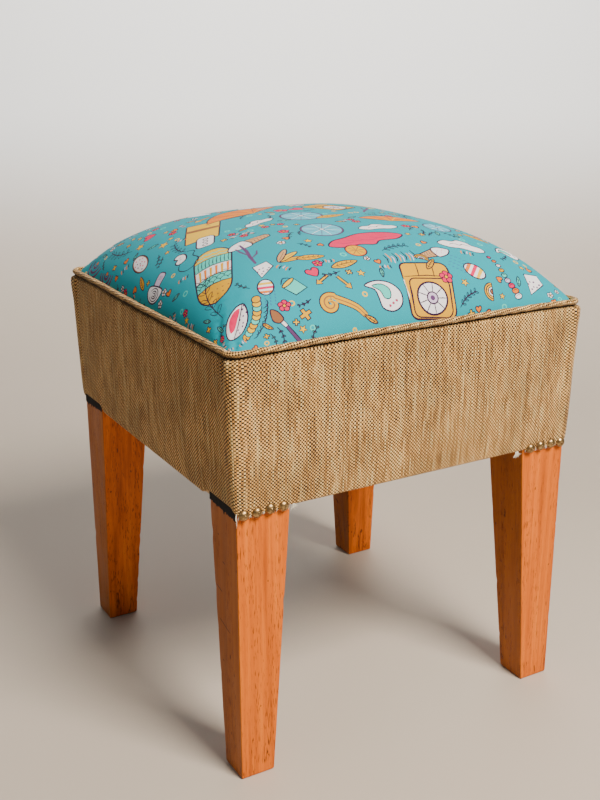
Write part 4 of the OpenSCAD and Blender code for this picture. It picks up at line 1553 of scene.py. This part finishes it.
def make_dust_cover():
    """Black cambric under the seat, cut round the legs, sagging a little between its staples."""
    lo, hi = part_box("dust_cover")
    n = 64
    notch_x = LEG_X - LEG_TOP - 0.5 * MM
    notch_y = LEG_Y - LEG_TOP - 0.5 * MM
    verts, faces = [], []
    for i in range(n + 1):
        for j in range(n + 1):
            u, v = -1 + 2 * i / n, -1 + 2 * j / n
            x, y = u * hi.x, v * hi.y
            sag = 5 * MM * (1 - u * u) * (1 - v * v)
            sag += 0.5 * MM * wobble(x, y, 0, 35 * MM, 3.3) * (1 - max(abs(u), abs(v)) ** 8)
            verts.append((x, y, (lo.z + hi.z) / 2 - sag))
    for f in grid_faces(n + 1, n + 1):
        if all(abs(verts[k][0]) < notch_x or abs(verts[k][1]) < notch_y for k in f):
            faces.append(f)
    used = sorted({k for f in faces for k in f})
    index = {k: i for i, k in enumerate(used)}
    cover = piece("cambric_dust_cover", [verts[k] for k in used],
                  [tuple(index[k] for k in f) for f in faces], CAMBRIC)
    thicken(cover, 0.4 * MM)
    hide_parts("dust_cover")
    return cover


# ---------------------------------------------------------------- loose threads

FRINGE = 74                                 # frayed yarns on each front leg


def thread(verts, faces, points, radius):
    """Adds one thin round yarn along a smooth line through the points, pointed at its end."""
    path = curve(points, False, 4)
    sides = 5
    first = len(verts)
    for i, p in enumerate(path):
        p = Vector(p)
        ahead = Vector(path[min(i + 1, len(path) - 1)]) - Vector(path[max(i - 1, 0)])
        side = ahead.cross(Vector((0.31, 0.87, 0.38))).normalized()
        up = side.cross(ahead).normalized()
        r = radius * (1 - 0.6 * i / len(path))
        turn = [2 * math.pi * k / sides for k in range(sides)]
        verts += [tuple(p + r * (side * math.cos(a) + up * math.sin(a))) for a in turn]
    faces += grid_faces(len(path), sides, closed=True, first=first)
    end = first + (len(path) - 1) * sides
    faces.append(tuple(range(end, end + sides)))
    faces.append(tuple(range(first + sides - 1, first - 1, -1)))


def make_threads():
    """Frayed yarns below the band on the front legs, and the tufts by their inner edges."""
    rng = random.Random(5)
    verts, faces = [], []
    front = -SEAT_Y - 0.2 * MM
    edge_z = FOLD_Z - 2.4 * MM
    for sx in (-1, 1):
        for _ in range(FRINGE):
            x = sx * (LEG_X - rng.uniform(0.5, 54.5) * MM)
            length = rng.uniform(0.8, 2.6) * MM
            lean = rng.uniform(-1.2, 1.2) * MM
            y = front + rng.uniform(-0.4, 0.5) * MM
            points = [(x, y, edge_z + 1.5 * MM), (x + lean * 0.3, y - 0.3 * MM, edge_z),
                      (x + lean, y - rng.uniform(-0.2, 0.7) * MM, edge_z - length)]
            thread(verts, faces, points, rng.uniform(0.14, 0.26) * MM)
    tufts = [(-LEG_X + LEG_TOP + 2 * MM, FOLD_Z - 1 * MM, 22, 6.5 * MM),
             (LEG_X - LEG_TOP - 9 * MM, FOLD_Z - 2.5 * MM, 34, 7 * MM)]
    for x0, z0, count, reach in tufts:
        for _ in range(count):
            a = math.radians(rng.uniform(-160, -10))
            length = reach * rng.uniform(0.4, 1.0)
            mid = (x0 + 0.45 * length * math.cos(a) + rng.uniform(-1, 1) * MM,
                   front - rng.uniform(0, 1.4) * MM,
                   z0 + 0.45 * length * math.sin(a))
            end = (x0 + length * math.cos(a), front + rng.uniform(-1.5, 1.5) * MM,
                   z0 + length * math.sin(a) + rng.uniform(-1, 1.5) * MM)
            root = (x0 + rng.uniform(-2, 2) * MM, front + 0.6 * MM, z0 + 1.5 * MM)
            thread(verts, faces, [root, mid, end], rng.uniform(0.16, 0.3) * MM)
    corner_x = -LEG_X - 0.5 * MM
    for k in range(3):
        drift = 0.5 * MM * k
        points = [(corner_x, -LEG_Y - 1.4 * MM, FOLD_Z + 2 * MM),
                  (corner_x - drift, -LEG_Y - 1.2 * MM, FOLD_Z - 3 * MM),
                  (corner_x + 0.4 * MM, -LEG_Y - 0.9 * MM, FOLD_Z - 7 * MM),
                  (corner_x + 0.3 * MM - drift, -LEG_Y - 0.7 * MM, FOLD_Z - (12.5 - 2.5 * k) * MM)]
        thread(verts, faces, points, 0.3 * MM)
    threads = piece("loose_threads", verts, faces, YARN)
    return threads


# ---------------------------------------------------------------- stage, light and camera

def make_stage():
    """A pale floor that rises behind into a plain backdrop."""
    m = Nodes("studio_floor", Roughness=0.6)
    tone = m.noise(m.place((0.8, 0.8, 0.8)), detail=2)
    near = m.ramp(tone, [(0.3, (0.46, 0.385, 0.31)), (0.7, (0.52, 0.44, 0.36))])
    _, _, height = m.parts(m.place())
    wall = m.span(height, 0.02, 0.5)
    floor_mat = m.finish(m.mix(wall, near, (0.86, 0.855, 0.84, 1)))
    size, bend = 6.0, 1.6
    profile = [(-size, 0.0), (1.2, 0.0)]
    profile += [(1.2 + bend * math.sin(a), bend - bend * math.cos(a))
                for a in (math.radians(10 * k) for k in range(1, 10))]
    profile.append((1.2 + bend, size))
    yaw = math.radians(-30)
    c, s = math.cos(yaw), math.sin(yaw)
    verts = [(w * c - d * s, w * s + d * c, z) for d, z in profile for w in (-size, size)]
    mesh = bpy.data.meshes.new("studio_floor")
    mesh.from_pydata(verts, [], grid_faces(len(profile), 2))
    mesh.materials.append(floor_mat)
    mesh.shade_smooth()
    floor = bpy.data.objects.new("studio_floor", mesh)
    bpy.context.scene.collection.objects.link(floor)


def area_light(name, place, aim, size, power, colour=(1, 1, 1)):
    light = bpy.data.lights.new(name, "AREA")
    light.shape = "RECTANGLE"
    light.size, light.size_y = size
    light.energy = power
    light.color = colour
    obj = bpy.data.objects.new(name, light)
    obj.location = place
    obj.rotation_euler = (Vector(aim) - Vector(place)).to_track_quat("-Z", "Y").to_euler()
    bpy.context.scene.collection.objects.link(obj)


def make_lights():
    seat = (0, 0, 0.35)
    area_light("key", (0.35, -1.75, 2.2), seat, (0.9, 0.9), 150, (1.0, 0.93, 0.83))
    area_light("sky", (0.0, 0.3, 2.8), seat, (2.0, 2.0), 10, (0.97, 0.98, 1.0))
    area_light("left_fill", (-2.2, -0.4, 1.3), seat, (1.4, 1.4), 4, (0.98, 0.98, 1.0))
    area_light("backdrop", (0.8, 1.386, 2.2), (1.4, 2.42, 1.6), (3.0, 0.8), 85, (1.0, 0.99, 0.97))
    world = bpy.data.worlds.new("studio")
    world.use_nodes = True
    world.node_tree.nodes["Background"].inputs[0].default_value = (0.93, 0.96, 1.0, 1)
    world.node_tree.nodes["Background"].inputs[1].default_value = 0.09
    bpy.context.scene.world = world


CAMERA_AT = Vector((-598.4, -1019.5, 697.4)) * MM
CAMERA_AZIMUTH, CAMERA_DOWN, CAMERA_ROLL = -29.83, 18.43, -0.15
CAMERA_LENS = 49.7


def make_camera():
    data = bpy.data.cameras.new("camera")
    data.lens = CAMERA_LENS
    data.sensor_width = 36
    data.dof.use_dof = False
    cam = bpy.data.objects.new("camera", data)
    a, e, roll = (math.radians(v) for v in (CAMERA_AZIMUTH, CAMERA_DOWN, CAMERA_ROLL))
    back = Vector((math.sin(a) * math.cos(e), -math.cos(a) * math.cos(e), math.sin(e)))
    right = (-back).cross(Vector((0, 0, 1))).normalized()
    up = right.cross(-back)
    c, s = math.cos(roll), math.sin(roll)
    turn = Matrix((right * c + up * s, up * c - right * s, back)).transposed().to_4x4()
    cam.matrix_world = Matrix.Translation(CAMERA_AT) @ turn
    bpy.context.scene.collection.objects.link(cam)
    bpy.context.scene.camera = cam


# ---------------------------------------------------------------- the whole

make_camera()
make_stage()
make_lights()
dress_cad_nodes()
for n, (corner, (sx, sy)) in enumerate(SIDES.items()):
    make_leg("leg_" + corner, sx, sy, 11 + n)
    make_nails(corner, sy, 31 + n)
    make_lining(corner, sx, sy, 51 + n)
band = make_band()
piping = make_piping()
cover, cover_x, cover_y = make_cover()
threads = make_threads()
make_side_pad()
make_dust_cover()
